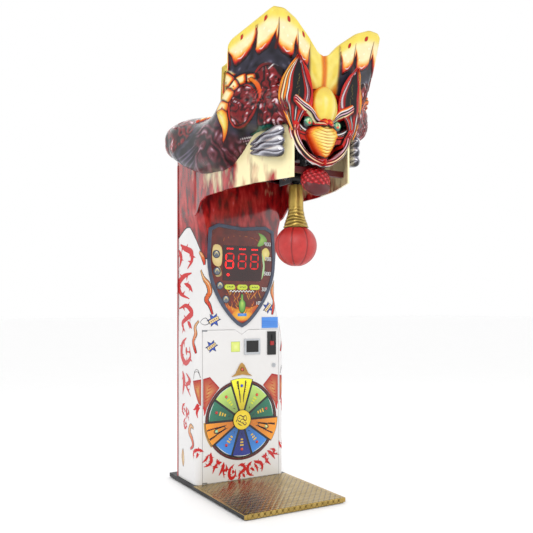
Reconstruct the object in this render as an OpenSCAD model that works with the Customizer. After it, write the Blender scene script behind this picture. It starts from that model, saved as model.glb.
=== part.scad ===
// Boxing punch machine: a coin-operated cabinet on a standing plate, with a
// hollow beast head that carries a swinging punch ball on a steel arm.
// Origin on the floor at the middle of the base. Front is -Y, up is +Z.

/* [Base] */
// Width of the base and standing plate
base_w = 580; // [560:5:620]
// Length of the base from front lip to rear edge
base_l = 924; // [900:4:960]
// Height of the standing surface above the floor
deck_h = 28; // [26:1:34]

/* [Cabinet] */
// Half width of the cabinet at the foot
cab_hw = 278; // [270:1:284]
// Distance of the cabinet front face behind the middle of the base
cab_front = 112; // [100:2:130]
// Distance of the cabinet back face behind the middle of the base
cab_back = 383; // [370:1:400]
// Half width of the cabinet front at its waist
waist_hw = 226; // [222:1:245]
// Wall thickness of the moulded cabinet shells
shell_t = 10; // [8:1:12]
// Height of the top of the service door
door_top = 866; // [860:1:874]

/* [Display] */
// Height of the middle of the score window
window_z = 1237; // [1230:1:1245]
// Half width of the shield at its widest
shield_hw = 213; // [205:1:216]

/* [Ball and arm] */
// Radius of the punch ball
ball_r = 102; // [96:1:104]
// Distance from the arm pivot to the middle of the ball
arm_l = 329; // [320:1:332]
// Height of the arm pivot above the floor
pivot_z = 1620; // [1615:1:1625]
// Distance of the arm pivot ahead of the middle of the base
pivot_fwd = 450; // [445:1:455]
// Diameter of the pivot shaft
shaft_d = 20; // [18:1:22]

/* [Head] */
// Half width of the head at its flanks
head_hw = 390; // [380:1:394]
// Wall thickness of the head mouldings
head_t = 9; // [8:1:10]
// Height of the crest tips above the floor
crest_z = 2280; // [2270:2:2300]

/* [Wheel] */
// Radius of the printed prize wheel
wheel_r = 233; // [220:1:234]
// Height of the middle of the prize wheel
wheel_z = 363; // [355:1:370]

/* [Hidden] */

gap = 0.4;
pivot_y = -pivot_fwd;
ball_z = pivot_z - arm_l;
front_r = 34;
back_r = 12;
fn_round = 48;
fn_soft = 32;

// ---------------------------------------------------------------- helpers

// Solid skinned over a list of rings that all have the same number of points.
module skin(given, flip = false) {
  rings = flip ? [for (i = [len(given) - 1 : -1 : 0]) given[i]] : given;
  n = len(rings[0]);
  m = len(rings);
  sides = [for (i = [0 : m - 2], j = [0 : n - 1])
    [i * n + j, i * n + (j + 1) % n, (i + 1) * n + (j + 1) % n, (i + 1) * n + j]];
  low = [for (j = [n - 1 : -1 : 0]) j];
  high = [for (j = [0 : n - 1]) (m - 1) * n + j];
  polyhedron(points = [for (r = rings) each r], faces = concat([low], sides, [high]), convexity = 8);
}

// Cylinder from point a to point b.
module rod(a, b, r1, r2) {
  d = b - a;
  len_d = norm(d);
  translate(a) rotate([0, acos(d[2] / len_d), atan2(d[1], d[0])])
    cylinder(h = len_d, r1 = r1, r2 = r2);
}

// Box given by its low and high corners.
module box(low, high) {
  translate(low) cube(high - low);
}

// Children and their mirror image in the middle plane.
module both() {
  children();
  mirror([1, 0, 0]) children();
}

// ------------------------------------------------------------ cabinet form

// Half width of the cabinet front at height z.
function front_hw(z) = lookup(z, [[0, cab_hw], [774, cab_hw], [860, cab_hw - 11], [947, waist_hw + 20],
  [1035, waist_hw], [1154, waist_hw], [1283, waist_hw + 10], [1439, waist_hw + 28], [1530, cab_hw - 2],
  [1600, cab_hw]]);

// Quarter-round corner: centre c, radius r, starting angle a0.
function corner(c, r, a0, n) =
  [for (i = [0 : n]) let (a = a0 + 90 * i / n) [c[0] + r * cos(a), c[1] + r * sin(a)]];

// Plan outline of the cabinet at height z, inset by t.
function cab_ring(z, t) =
  let (f = front_hw(z) - t, b = cab_hw - t, y0 = cab_front + t, y1 = cab_back + t,
       rf = front_r - t, rb = back_r)
  [for (p = concat(corner([-f + rf, y0 + rf], rf, 180, 6), corner([f - rf, y0 + rf], rf, 270, 6),
                   corner([b - rb, y1 - rb], rb, 0, 2), corner([-b + rb, y1 - rb], rb, 90, 2)))
    [p[0], p[1], z]];

column_top = 1856;
column_z = [deck_h + gap, 774, 860, 947, 990, 1035, 1154, 1220, 1283, 1360, 1439, 1490, 1530, 1600,
  column_top];

module column_solid(t, grow) {
  skin([for (z = column_z) cab_ring(z + (z == column_z[0] ? -grow : (z == column_top ? grow : 0)), t)], flip = true);
}

// ---------------------------------------------------------------- head form

// Half width, top and underside of the head at distance y.
function head_w(y) = lookup(y, [[-672, 184], [-620, 252], [-560, 322], [-500, head_hw - 16],
  [-440, head_hw - 3], [-300, head_hw - 8], [-150, head_hw - 6], [0, head_hw - 2], [200, head_hw],
  [300, head_hw - 20], [360, head_hw - 85], [394, 190]]);
function head_top(y) = lookup(y, [[-672, 1986], [-620, 2004], [-560, 2025], [-500, 2052], [-440, 2015],
  [-396, 1986], [-292, 1942], [-162, 1930], [-66, 1960], [60, 2008], [170, 2022], [277, 2010],
  [347, 1962], [394, 1895]]);
function head_low(y) = lookup(y, [[-672, 1803], [-560, 1806], [-440, 1795], [-380, 1740], [-300, 1682],
  [-104, 1673], [51, 1694], [175, 1742], [277, 1795], [347, 1838], [394, 1868]]);

function side_power(v, p) = sign(v) * pow(abs(v), p);

// Rounded-box section of the head at distance y, inset by t.
function head_ring(y, t) =
  let (w = head_w(y) - t, hi = head_top(y) - t, lo = head_low(y) + t, mid = (hi + lo) / 2, hh = (hi - lo) / 2)
  [for (i = [0 : 27]) let (a = i * 360 / 28)
    [w * side_power(cos(a), 0.62), y, mid + hh * side_power(sin(a), 0.62)]];

head_y = [-672, -620, -560, -500, -440, -396, -292, -162, -66, 60, 170, 277, 347, 394];

module head_solid(t) {
  skin([for (y = head_y) head_ring(y == -672 ? y + t : (y == 394 ? y - t : y), t)]);
}

// Cheek walls that carry the cabinet sides forward under the head.
function cheek_w(y) = lookup(y, [[-668, 158], [-560, 198], [-450, 236], [-250, cab_hw - 6], [60, cab_hw - 1],
  [112, cab_hw - 5], [150, cab_hw - 8]]);
cheek_y = [-668, -560, -450, -250, -120, 0, 60, 112, 150];
cheek_low = 1574;
cheek_high = 1815;

module cheek(t) {
  // The lower edge curves down into the cabinet side.
  skin([for (y = cheek_y)
    let (z0 = lookup(y, [[0, cheek_low], [60, cheek_low - 20], [112, 1505], [150, 1490]]), w = cheek_w(y))
    [[-w, y, cheek_high], [-w + t, y, cheek_high], [-w + t, y, z0], [-w, y, z0]]], flip = true);
}

mast_x = 200;
mast_y = 318;
tube = 40;
rail_x = 160;
rail_z = 1762;
rail_front = -520;

module mast_clearance() {
  both() box([mast_x - 24, mast_y - 24, 1600], [mast_x + 24, mast_y + 24, 1900]);
}

module throat_opening() {
  box([-184, -640, 1500], [184, 92, 1830]);
}

// -------------------------------------------------------------------- base

module base_frame() {
  color("#1c1c1e") {
    difference() {
      box([-base_w / 2, -base_l / 2 + 4, 6], [base_w / 2, base_l / 2, deck_h - 3]);
      box([-base_w / 2 + 25, -base_l / 2 + 29, 0], [-15, cab_front - 20, deck_h]);
      box([15, -base_l / 2 + 29, 0], [base_w / 2 - 25, cab_front - 20, deck_h]);
      box([-base_w / 2 + 25, cab_front + 20, 0], [base_w / 2 - 25, mast_y - 30, deck_h]);
    }
    // Rear deck under the cabinet
    box([-base_w / 2, cab_front + 6, deck_h - 3], [base_w / 2, base_l / 2, deck_h]);
  }
}

module base_feet() {
  color("#111111") {
    for (x = [-base_w / 2 + 30, base_w / 2 - 30], y = [-base_l / 2 + 36, 0, base_l / 2 - 32])
      translate([x, y, 0]) cylinder(h = 6, r = 22, $fn = fn_round);
    cylinder(h = 6, r = 14, $fn = fn_round);
  }
}

lip_drop = 22;
module tread_plate() {
  color("#b59a4c") {
    box([-base_w / 2, -base_l / 2, deck_h - 3], [base_w / 2, cab_front + 5.5, deck_h]);
    box([-base_w / 2, -base_l / 2, deck_h - lip_drop], [base_w / 2, -base_l / 2 + 3.5, deck_h - 3]);
  }
}

// ----------------------------------------------------------------- cabinet

door_hw = 240;
door_low = deck_h + 4;
vee_w = 42;
vee_drop = 27;

// Outline of the door opening seen from the front, grown by g.
module door_outline(g) {
  polygon([[-door_hw - g, door_low - g], [door_hw + g, door_low - g], [door_hw + g, door_top + g],
    [vee_w + g / 2, door_top + g], [0, door_top - vee_drop + g], [-vee_w - g / 2, door_top + g],
    [-door_hw - g, door_top + g]]);
}

module front_extrude(y0, y1) {
  translate([0, y1, 0]) rotate([90, 0, 0]) linear_extrude(y1 - y0) children();
}

lcd_x = 182;
lcd_z = 905;
lcd_hw = 53;
lcd_hh = 31;

module cabinet_half() {
  difference() {
    union() {
      difference() {
        column_solid(0, 0);
        column_solid(shell_t, 2);
        box([-cab_hw - 5, cab_back - 12, 0], [cab_hw + 5, cab_back + 5, 2000]);
      }
      cheek(shell_t);
    }
    head_solid(-gap);
    front_extrude(cab_front - 5, cab_front + 20) door_outline(2);
    box([-0.2, 0, 0], [400, 500, 2000]);
    // Opening behind the score display, hidden by the shield
    front_extrude(cab_front - 5, cab_front + 20) offset(delta = -45) shield_outline();
    mast_clearance();
  }
}

module side_shell_left() {
  color("#e9e8e6") cabinet_half();
}

module side_shell_right() {
  color("#e9e8e6") difference() {
    mirror([1, 0, 0]) cabinet_half();
    box([lcd_x - lcd_hw + 4, cab_front - 5, lcd_z - lcd_hh + 4],
      [lcd_x + lcd_hw - 4, cab_front + 20, lcd_z + lcd_hh - 4]);
  }
}

back_top = 1846;
module back_panel() {
  color("#d8d7d4") difference() {
    box([-cab_hw + 13, cab_back - 11.5, deck_h + 1], [cab_hw - 13, cab_back - 3, back_top]);
    for (i = [-3 : 3]) box([i * 30 - 4, cab_back - 20, 1380], [i * 30 + 4, cab_back + 5, 1480]);
    box([-24.5, cab_back - 20, 95.5], [24.5, cab_back + 5, 168.5]);
    screw_places() cylinder(h = 40, r = 2.6, center = true, $fn = 24);
  }
}

module screw_places() {
  for (x = [-240, 240], z = [60, 350, 640, 930, 1220, 1510, 1820])
    translate([x, cab_back - 7, z]) rotate([90, 0, 0]) children();
}

module panel_screws() {
  color("#8d8f92") screw_places() {
    translate([0, 0, -8]) cylinder(h = 4, r = 5, $fn = 24);
    translate([0, 0, -4]) cylinder(h = 16, r = 2.5, $fn = 24);
  }
}

module edge_trims() {
  color("#a3201c") both()
    box([cab_hw + gap, cab_back - 26, deck_h + 2], [cab_hw + 3, cab_back - 14, 1800]);
}

module mast_frame() {
  color("#2a2b2e") {
    both() {
      box([mast_x - tube / 2, mast_y - tube / 2, deck_h],
        [mast_x + tube / 2, mast_y + tube / 2, rail_z + tube]);
      box([rail_x - tube / 2, rail_front, rail_z],
        [rail_x + tube / 2, mast_y + tube / 2, rail_z + tube]);
      box([mast_x - 60, mast_y - 28, deck_h], [mast_x + 30, mast_y + 28, deck_h + 8]);
    }
    for (z = [560, 1045, 1205, 1500])
      box([-mast_x + tube / 2, mast_y - 15, z], [mast_x - tube / 2, mast_y + 15, z + 30]);
    for (y = [rail_front, -410, -300, 60, mast_y - 40])
      box([-rail_x + tube / 2, y, rail_z + 5], [rail_x - tube / 2, y + 35, rail_z + tube - 5]);
  }
}

// ----------------------------------------------------------------- display

shield_low = 879;
shield_top = 1452;
shield_y0 = cab_front - 9;
panel_y = cab_front - 5;
window_hw = 121;
window_hh = 98;

// Half width of the shield at height z: straight sides above its waist, a pointed bow below.
shield_waist = 1250;
function shield_x(z) = z > shield_waist ? shield_hw - 0.00028 * pow(z - shield_waist, 2)
  : shield_hw * pow(sin(90 * (z - shield_low) / (shield_waist - shield_low)), 0.72);

shield_heights = [for (i = [0 : 12]) shield_low + (shield_waist - shield_low) * pow(i / 12, 1.3)];
shield_upper = [1310, 1370, 1425];
shield_rim = 19;

module shield_outline() {
  right = [for (z = concat(shield_heights, shield_upper)) [shield_x(z), z]];
  left = [for (i = [len(right) - 1 : -1 : 1]) [-right[i][0], right[i][1]]];
  crown = [[150, shield_top], [0, shield_top - 14], [-150, shield_top]];
  polygon(concat(right, crown, left));
}

module shield_inner() {
  offset(delta = -shield_rim) shield_outline();
}

module shield_bezel() {
  color("#5b6478") difference() {
    front_extrude(shield_y0, cab_front - gap) shield_outline();
    front_extrude(shield_y0 - 1, cab_front + 1) shield_inner();
  }
}

button_x = [-78, 0, 78];
button_z = 1104;
button_hw = 32;
button_hh = 14;
emblem_xz = [[-160, 1283], [-156, 1190], [-138, 1112], [-102, 1036]];
emblem_r = 22;
digit_pitch = 78;
digit_z = window_z + 12;

module oval(hw, hh) {
  translate([-hw + hh, 0, 0]) circle(r = hh, $fn = fn_soft);
  translate([hw - hh, 0, 0]) circle(r = hh, $fn = fn_soft);
  translate([-hw + hh, -hh, 0]) square([2 * (hw - hh), 2 * hh]);
}

module display_panel() {
  color("#5a1418") difference() {
    front_extrude(panel_y, cab_front - 1) offset(delta = -shield_rim - 0.5) shield_outline();
    box([-window_hw, panel_y - 1, window_z - window_hh], [window_hw, cab_front, window_z + window_hh]);
    for (x = button_x)
      front_extrude(panel_y - 1, cab_front) translate([x, button_z]) oval(button_hw + 0.5, button_hh + 0.5);
    for (p = emblem_xz)
      front_extrude(panel_y - 1, cab_front) translate(p) circle(r = emblem_r + 0.5, $fn = fn_round);
  }
}

module display_window() {
  color("#3a0508") box([-window_hw + gap, panel_y - 1, window_z - window_hh + gap],
    [window_hw - gap, panel_y + 2.5, window_z + window_hh - gap]);
}

module digit_modules() {
  color("#250404") for (i = [-1 : 1])
    box([i * digit_pitch - 35, panel_y + 4, digit_z - 52], [i * digit_pitch + 35, panel_y + 14, digit_z + 52]);
  color("#1d5a32") box([-135, panel_y + 14, window_z - 85], [135, panel_y + 16, window_z + 85]);
}

module emblem_lamps() {
  color("#9aa2ad") for (p = emblem_xz)
    front_extrude(panel_y - 2, cab_front - gap) translate(p) circle(r = emblem_r, $fn = fn_round);
}

module select_button(i) {
  color("#c9cf3c") {
    front_extrude(panel_y - 5, cab_front + 2) translate([button_x[i], button_z]) oval(button_hw, button_hh);
    // Flange behind the panel keeps the oval from falling out
    front_extrude(cab_front + 2, cab_front + 4)
      translate([button_x[i], button_z]) oval(button_hw + 4, button_hh + 4);
  }
}
module select_button_1() { select_button(0); }
module select_button_2() { select_button(1); }
module select_button_3() { select_button(2); }

module status_display() {
  color("#3f8fd2") {
    box([lcd_x - lcd_hw, cab_front - 4, lcd_z - lcd_hh],
      [lcd_x + lcd_hw, cab_front - gap, lcd_z + lcd_hh]);
    box([lcd_x - lcd_hw + 5, cab_front - gap, lcd_z - lcd_hh + 5],
      [lcd_x + lcd_hw - 5, cab_front + 16, lcd_z + lcd_hh - 5]);
  }
}

// -------------------------------------------------------------- electronics

module control_board() {
  color("#1f6b3a") {
    box([-110, mast_y - 24, 1050], [110, mast_y - 22, 1230]);
    for (x = [-95, 95], z = [1060, 1215])
      translate([x, mast_y - 22, z]) rotate([-90, 0, 0]) cylinder(h = 7, r = 4, $fn = 24);
    box([-60, mast_y - 32, 1120], [10, mast_y - 24, 1190]);
    box([40, mast_y - 36, 1070], [90, mast_y - 24, 1100]);
  }
}

module power_supply() {
  color("#b9bcc0") box([-90, mast_y - 75, 590.5], [70, mast_y + 15, 640]);
}

module loudspeaker() {
  color("#202124") translate([0, cab_back - 12, 1430]) rotate([90, 0, 0]) {
    difference() {
      cylinder(h = 6, r = 70, $fn = fn_round);
      translate([0, 0, -1]) cylinder(h = 5, r = 58, $fn = fn_round);
    }
    translate([0, 0, 6]) cylinder(h = 26, r1 = 62, r2 = 38, $fn = fn_round);
    translate([0, 0, 32]) cylinder(h = 16, r = 34, $fn = fn_round);
  }
}

smoke_low = rail_z + tube;
module smoke_generator() {
  color("#4a4d52") {
    box([-130, 110, smoke_low - 4.9], [130, 290, smoke_low + 105]);
    translate([0, 200, smoke_low + 105]) cylinder(h = 14, r = 24, $fn = fn_round);
  }
}

hose_route = [[100, 110, 1842], [100, 60, 1842], [225, -300, 1830], [250, -350, 1775]];
module smoke_hoses() {
  color("#3a3d42") both() {
    rod(hose_route[0], hose_route[1], 14, 14, $fn = fn_soft);
    rod(hose_route[1], hose_route[2], 14, 14, $fn = fn_soft);
    rod(hose_route[2], hose_route[3], 14, 14, $fn = fn_soft);
    for (i = [1, 2]) translate(hose_route[i]) sphere(r = 15.5, $fn = fn_soft);
  }
}

inlet_z = 132;
module power_inlet() {
  color("#151515") difference() {
    union() {
      box([-24, cab_back - 40, inlet_z - 36], [24, cab_back - 3, inlet_z + 36]);
      box([-30, cab_back - 3, inlet_z - 42], [30, cab_back - 0.5, inlet_z + 42]);
    }
    box([-14, cab_back - 22, inlet_z - 30], [14, cab_back + 1, inlet_z - 8]);
    box([-10.5, cab_back - 18, inlet_z + 3], [10.5, cab_back + 1, inlet_z + 31]);
  }
}

module power_switch() {
  color("#9c1f1a") translate([0, cab_back - 9, inlet_z + 17]) rotate([90, 0, 90]) {
    translate([0, 0, -9.5]) linear_extrude(19) polygon([[-4, -9], [6, -12], [3.5, 0], [6, 12], [-4, 9]]);
    translate([0, 0, -10.3]) cylinder(h = 20.6, r = 2, $fn = fn_soft);
  }
}

// --------------------------------------------------------------- arm group

cheek_in = 56;
cheek_out = 64;
plate_z = rail_z - 8;
bearing_r = 21;
shaft_r = shaft_d / 2;
shaft_hw = 72;
collar_w = 5;
pawl_y = -532;
pawl_z = 1690;
pawl_pin_r = 4;

module arm_bracket() {
  color("#6d7076") difference() {
    union() {
      box([-rail_x - 18, -520, plate_z], [rail_x + 18, -380, rail_z - gap]);
      both() box([cheek_in, -500, pivot_z - 38], [cheek_out, -400, plate_z]);
      both() box([9, -546, 1670], [14, -506, plate_z]);
    }
    translate([-100, pivot_y, pivot_z]) rotate([0, 90, 0]) cylinder(h = 200, r = bearing_r, $fn = fn_round);
    translate([-50, pawl_y, pawl_z]) rotate([0, 90, 0]) cylinder(h = 100, r = pawl_pin_r + 0.05, $fn = fn_soft);
  }
}

module pivot_bearings() {
  color("#c9ccd0") both() translate([cheek_in, pivot_y, pivot_z]) rotate([0, 90, 0]) difference() {
    cylinder(h = cheek_out - cheek_in, r = bearing_r, $fn = fn_round);
    translate([0, 0, -1]) cylinder(h = 20, r = shaft_r + 0.05, $fn = fn_round);
  }
}

module pivot_shaft() {
  color("#d5d8dc") translate([-shaft_hw, pivot_y, pivot_z]) rotate([0, 90, 0]) {
    cylinder(h = 2 * shaft_hw, r = shaft_r, $fn = fn_round);
    for (end = [0, 2 * shaft_hw - collar_w])
      translate([0, 0, end]) cylinder(h = collar_w, r = shaft_r + 6, $fn = fn_round);
  }
}

boss_hw = 50;
lug_r = 62;
ball_crown = ball_z + ball_r;
arm_end = ball_z + 60;
spigot_r = 10;

module ball_arm() {
  color("#4f5257") difference() {
    union() {
      translate([-boss_hw, pivot_y, pivot_z]) rotate([0, 90, 0])
        cylinder(h = 2 * boss_hw, r = 26, $fn = fn_round);
      translate([0, pivot_y, ball_crown + 4]) cylinder(h = arm_l - ball_r - 18, r = 16, $fn = fn_round);
      translate([0, pivot_y, arm_end]) cylinder(h = ball_crown + 5 - arm_end, r = spigot_r, $fn = fn_round);
      box([-5, pivot_y - 8, pivot_z + 20], [5, pivot_y + 8, pivot_z + lug_r]);
    }
    translate([-100, pivot_y, pivot_z]) rotate([0, 90, 0]) cylinder(h = 200, r = shaft_r, $fn = fn_round);
  }
}

module ball_sleeve() {
  color("#a88d45") translate([0, pivot_y, 0]) rotate_extrude($fn = 64)
    polygon([[18, ball_crown + 6], [54, ball_crown - 10], [56, ball_crown + 4], [48, ball_crown + 26],
      [41, ball_crown + 60], [37, pivot_z - 40], [34, pivot_z - 34], [18, pivot_z - 34]]);
}

module ball() {
  color("#c13a38") translate([0, pivot_y, ball_z]) difference() {
    sphere(r = ball_r, $fn = 96);
    translate([0, 0, arm_end - ball_z]) cylinder(h = 200, r = spigot_r, $fn = fn_round);
    // Seat for the end of the sleeve
    translate([0, 0, ball_r - 17]) cylinder(h = 60, r = 62, $fn = 64);
  }
}

module arm_stop() {
  color("#161616") {
    box([-45, -300, 1700], [45, -265, rail_z + 5]);
    box([-38, -298, 1674], [38, -267, 1700]);
  }
}

hook_low = 1627;

module latch_pawl() {
  color("#8b8e93") {
    translate([-16, pawl_y, pawl_z]) rotate([0, 90, 0]) cylinder(h = 32, r = pawl_pin_r, $fn = fn_soft);
    translate([-7, pawl_y, pawl_z]) rotate([0, 90, 0]) cylinder(h = 14, r = 11, $fn = fn_soft);
    box([-6, pawl_y - 6, hook_low], [6, pawl_y + 6, pawl_z]);
    box([-6, pawl_y + 6, hook_low], [6, pawl_y + 13, hook_low + 12]);
    box([-6, pawl_y - 5, pawl_z], [6, pawl_y + 5, pawl_z + 36]);
  }
}

sol_z = 1718;
plunger_r = 6;
plunger_l = -445 - (pawl_y + 6.8);

module latch_solenoid() {
  color("#30343a") difference() {
    box([-20, -498, 1698], [20, -440, plate_z]);
    translate([0, -400, sol_z]) rotate([90, 0, 0]) cylinder(h = 120, r = plunger_r + 0.05, $fn = fn_soft);
  }
}

module latch_plunger() {
  color("#c2c5c9") {
    translate([0, -445, sol_z]) rotate([90, 0, 0]) cylinder(h = plunger_l, r = plunger_r, $fn = fn_soft);
    translate([0, -429, sol_z]) rotate([90, 0, 0]) cylinder(h = 3, r = 9, $fn = fn_soft);
    translate([0, -430, sol_z]) rotate([90, 0, 0]) cylinder(h = 16, r = plunger_r, $fn = fn_soft);
  }
}

// ------------------------------------------------------------ service door

pin_x = -door_hw + 7;
pin_y = cab_front + 6;
door_t = 12;
pin_r = 4;
pin_l = 27;
acceptor_x = 193;
acceptor_z = 787;
cup_x = 66;
cup_z = 770;
lock_x = 208;
lock_z = 660;

module door_panel() {
  color("#efeeec") difference() {
    union() {
      difference() {
        front_extrude(cab_front, cab_front + door_t) door_outline(0);
        box([-door_hw - 1, cab_front - 1, 0], [pin_x, cab_front + 20, 900]);
      }
      translate([pin_x, pin_y, door_low]) cylinder(h = door_top - door_low, r = 6, $fn = fn_round);
    }
    for (z = [door_low - 1, door_top - 7])
      box([-door_hw - 2, cab_front - 1, z], [pin_x + 22, cab_front + 20, z + 8]);
    for (z = [door_low, door_top - pin_l])
      translate([pin_x, pin_y, z]) cylinder(h = pin_l, r = pin_r, $fn = fn_round);
    box([acceptor_x - 22, cab_front - 1, acceptor_z - 60], [acceptor_x + 22, cab_front + 20, acceptor_z + 60]);
    box([cup_x - 44, cab_front - 1, cup_z - 36], [cup_x + 44, cab_front + 20, cup_z + 36]);
    translate([lock_x, cab_front + 30, lock_z]) rotate([90, 0, 0]) cylinder(h = 60, r = 9.5, $fn = fn_round);
  }
}

module door_pins() {
  color("#b4b7bb") for (z = [door_low, door_top - pin_l])
    translate([pin_x, pin_y, z]) cylinder(h = pin_l, r = pin_r, $fn = fn_round);
}

module hinge_plates() {
  color("#77797d") difference() {
    for (p = [[door_low + 0.5, 2], [door_top - 6, 13]]) {
      box([-door_hw - 0.5, cab_front + 0.5, p[0]], [pin_x + 20, cab_front + 60, p[0] + 6]);
      box([-cab_hw + shell_t + p[1], cab_front + 30, p[0]], [pin_x + 20, cab_front + 60, p[0] + 6]);
    }
    translate([pin_x, pin_y, 0]) cylinder(h = 900, r = pin_r + 0.05, $fn = fn_round);
  }
}

// Prize wheel: ten sectors, three of them reach out to the full radius.
sector = 36;
module wheel_face() {
  color("#e8c81e") front_extrude(cab_front - 1.5, cab_front - gap / 2) translate([0, wheel_z]) union() {
    circle(r = wheel_r - 10, $fn = 96);
    for (a = [90, 90 + 3 * sector, 90 - 3 * sector])
      polygon(concat([[0, 0]],
        [for (i = [0 : 6]) let (b = a - sector / 2 + i * sector / 6) wheel_r * [cos(b), sin(b)]]));
  }
}

lamp_ring = [for (i = [0 : 9]) let (a = 90 + sector * i, r = i == 0 ? 190 : 165)
  [r * cos(a), wheel_z + r * sin(a)]];
module wheel_lamps() {
  color("#d22d22") {
    for (p = lamp_ring)
      translate([p[0], cab_front - 1.5, p[1]]) rotate([90, 0, 0])
        cylinder(h = 5, r1 = 9, r2 = 6, $fn = fn_soft);
    front_extrude(cab_front - 6, cab_front - 1.5) translate([0, wheel_z]) circle(r = 58, $fn = 64);
  }
}

stud_z = 645;
module pointer() {
  color("#b8923c") front_extrude(cab_front - 7, cab_front - gap / 2) difference() {
    polygon([[-64, 606], [-40, 622], [-14, 670], [0, 682], [14, 670], [40, 622], [64, 606], [0, 616]]);
    translate([0, stud_z]) circle(r = 12, $fn = fn_soft);
  }
  color("#a01414") translate([0, cab_front - gap / 2, stud_z]) rotate([90, 0, 0])
    cylinder(h = 9, r1 = 11.6, r2 = 8, $fn = fn_soft);
}

reject_hw = 12;
module coin_acceptor() {
  color("#17181a") difference() {
    union() {
      box([acceptor_x - 28, cab_front - 6, acceptor_z - 67],
        [acceptor_x + 28, cab_front - gap, acceptor_z + 67]);
      box([acceptor_x - 21, cab_front - gap, acceptor_z - 59],
        [acceptor_x + 21, cab_front + 60, acceptor_z + 59]);
    }
    // Coin slot and the well of the reject button
    box([acceptor_x - 2, cab_front - 7, acceptor_z + 18], [acceptor_x + 2, cab_front + 40, acceptor_z + 50]);
    box([acceptor_x - reject_hw - gap, cab_front - 7, acceptor_z - reject_hw - gap],
      [acceptor_x + reject_hw + gap, cab_front + 14, acceptor_z + reject_hw + gap]);
  }
}

module reject_button() {
  color("#b8201c") box([acceptor_x - reject_hw, cab_front - 10, acceptor_z - reject_hw],
    [acceptor_x + reject_hw, cab_front + 3, acceptor_z + reject_hw]);
}

cup_hw = 51;
cup_hh = 44;
flap_pivot = [cab_front - 3, cup_z + 31];
module return_cup() {
  color("#9fa3a8") difference() {
    union() {
      box([cup_x - cup_hw, cab_front - 6, cup_z - cup_hh], [cup_x + cup_hw, cab_front - gap, cup_z + cup_hh]);
      box([cup_x - 43, cab_front - gap, cup_z - 35], [cup_x + 43, cab_front + 62, cup_z + 35]);
    }
    box([cup_x - 39, cab_front - 7, cup_z - 31], [cup_x + 39, cab_front + 58, cup_z + 31]);
    box([cup_x - 39, cab_front - 7, cup_z + 20], [cup_x + 39, cab_front + 4, cup_z + 36]);
    translate([cup_x - 45, flap_pivot[0], flap_pivot[1]]) rotate([0, 90, 0]) cylinder(h = 90, r = 2.05, $fn = 24);
  }
}

module return_flap() {
  color("#26282b") {
    translate([cup_x - 44, flap_pivot[0], flap_pivot[1]]) rotate([0, 90, 0]) cylinder(h = 88, r = 2, $fn = 24);
    box([cup_x - 38, flap_pivot[0] - 1.5, cup_z - 30], [cup_x + 38, flap_pivot[0] + 1.5, flap_pivot[1]]);
  }
}

module door_lock() {
  color("#c4c7cb") translate([lock_x, 0, lock_z]) {
    translate([0, cab_front + door_t + 0.5, 0]) rotate([90, 0, 0])
      cylinder(h = door_t + 2.5, r = 9.4, $fn = fn_round);
    translate([0, cab_front - gap, 0]) rotate([90, 0, 0]) difference() {
      cylinder(h = 3.6, r = 12.5, $fn = fn_round);
      translate([-1, -5, 1.5]) cube([2, 10, 4]);
    }
    box([-7, cab_front + door_t + 0.5, -9], [7, cab_front + door_t + 3.5, 44]);
  }
}

cash_low = deck_h + 22;
module cash_cradle() {
  color("#55585d") difference() {
    box([-128, 150, deck_h + 0.5], [128, 284, deck_h + 72]);
    box([-123, 155, cash_low - 2], [123, 279, deck_h + 80]);
  }
}

module cash_box() {
  color("#70757c") difference() {
    box([-121, 157, cash_low - 1.5], [121, 277, cash_low + 120]);
    box([-119, 159, cash_low + 1], [119, 275, cash_low + 121]);
  }
}

// -------------------------------------------------------------------- head

module throat_liner() {
  // Dark roof of the cavity into which the ball swings
  color("#5a1016") difference() {
    box([-182, -375, rail_z - 6.4], [182, 90, rail_z - gap]);
    box([-50, -305, 1700], [50, -260, 1800]);
  }
}

module head_shell() {
  difference() {
    head_solid(0);
    head_solid(head_t);
    box([-0.2, -800, 1500], [500, 500, 2300]);
    box([-500, -800, 1500], [500, -620, 2300]);
    throat_opening();
    // Room for the top of the column, its frame and the smoke generator
    box([-mast_x - tube / 2 - 2, 80, 1600],
      [mast_x + tube / 2 + 2, mast_y + tube / 2 + 7, column_top - 6]);
    mast_clearance();
  }
}

module head_shell_left() { color("#6b2a30") head_shell(); }
module head_shell_right() { color("#6b2a30") mirror([1, 0, 0]) head_shell(); }

// Crest lobe: a thick leaf from the flank over the tip down to the middle valley.
function lobe_top(t) = [
  lookup(t, [[0, -392], [0.16, -392], [0.40, -294], [0.52, -234], [0.66, -168], [0.84, -88], [0.95, -31],
    [1, -0.4]]),
  lookup(t, [[0, -480], [0.16, -506], [0.40, -722], [0.52, -728], [0.66, -713], [0.84, -694], [0.95, -688],
    [1, -686]]),
  crest_z + lookup(t, [[0, -215], [0.16, -95], [0.40, -2], [0.52, 0], [0.66, -22], [0.84, -80], [0.95, -140],
    [1, -148]])];
function lobe_low(t) = [
  lookup(t, [[0, -384], [0.16, -372], [0.40, -286], [0.66, -165], [1, -0.4]]),
  lookup(t, [[0, -450], [0.16, -505], [0.40, -596], [0.66, -664], [1, -690]]),
  lookup(t, [[0, 2000], [0.16, 2010], [0.40, 1995], [0.66, 1985], [1, 2002]])];
lobe_steps = [0, 0.08, 0.16, 0.24, 0.32, 0.40, 0.46, 0.52, 0.59, 0.66, 0.75, 0.84, 0.90, 0.95, 1];
lobe_t = 34;

module crest_lobe() {
  difference() {
    skin([for (t = lobe_steps)
      let (a = lobe_top(t), b = lobe_low(t), d = [lobe_t * 0.45 * (1 - t), lobe_t, 0])
      [a, a + d, b + d, b]]);
    head_solid(-2);
  }
}

module crest_left() { color("#d9c24a") crest_lobe(); }
module crest_right() { color("#d9c24a") mirror([1, 0, 0]) crest_lobe(); }

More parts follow.
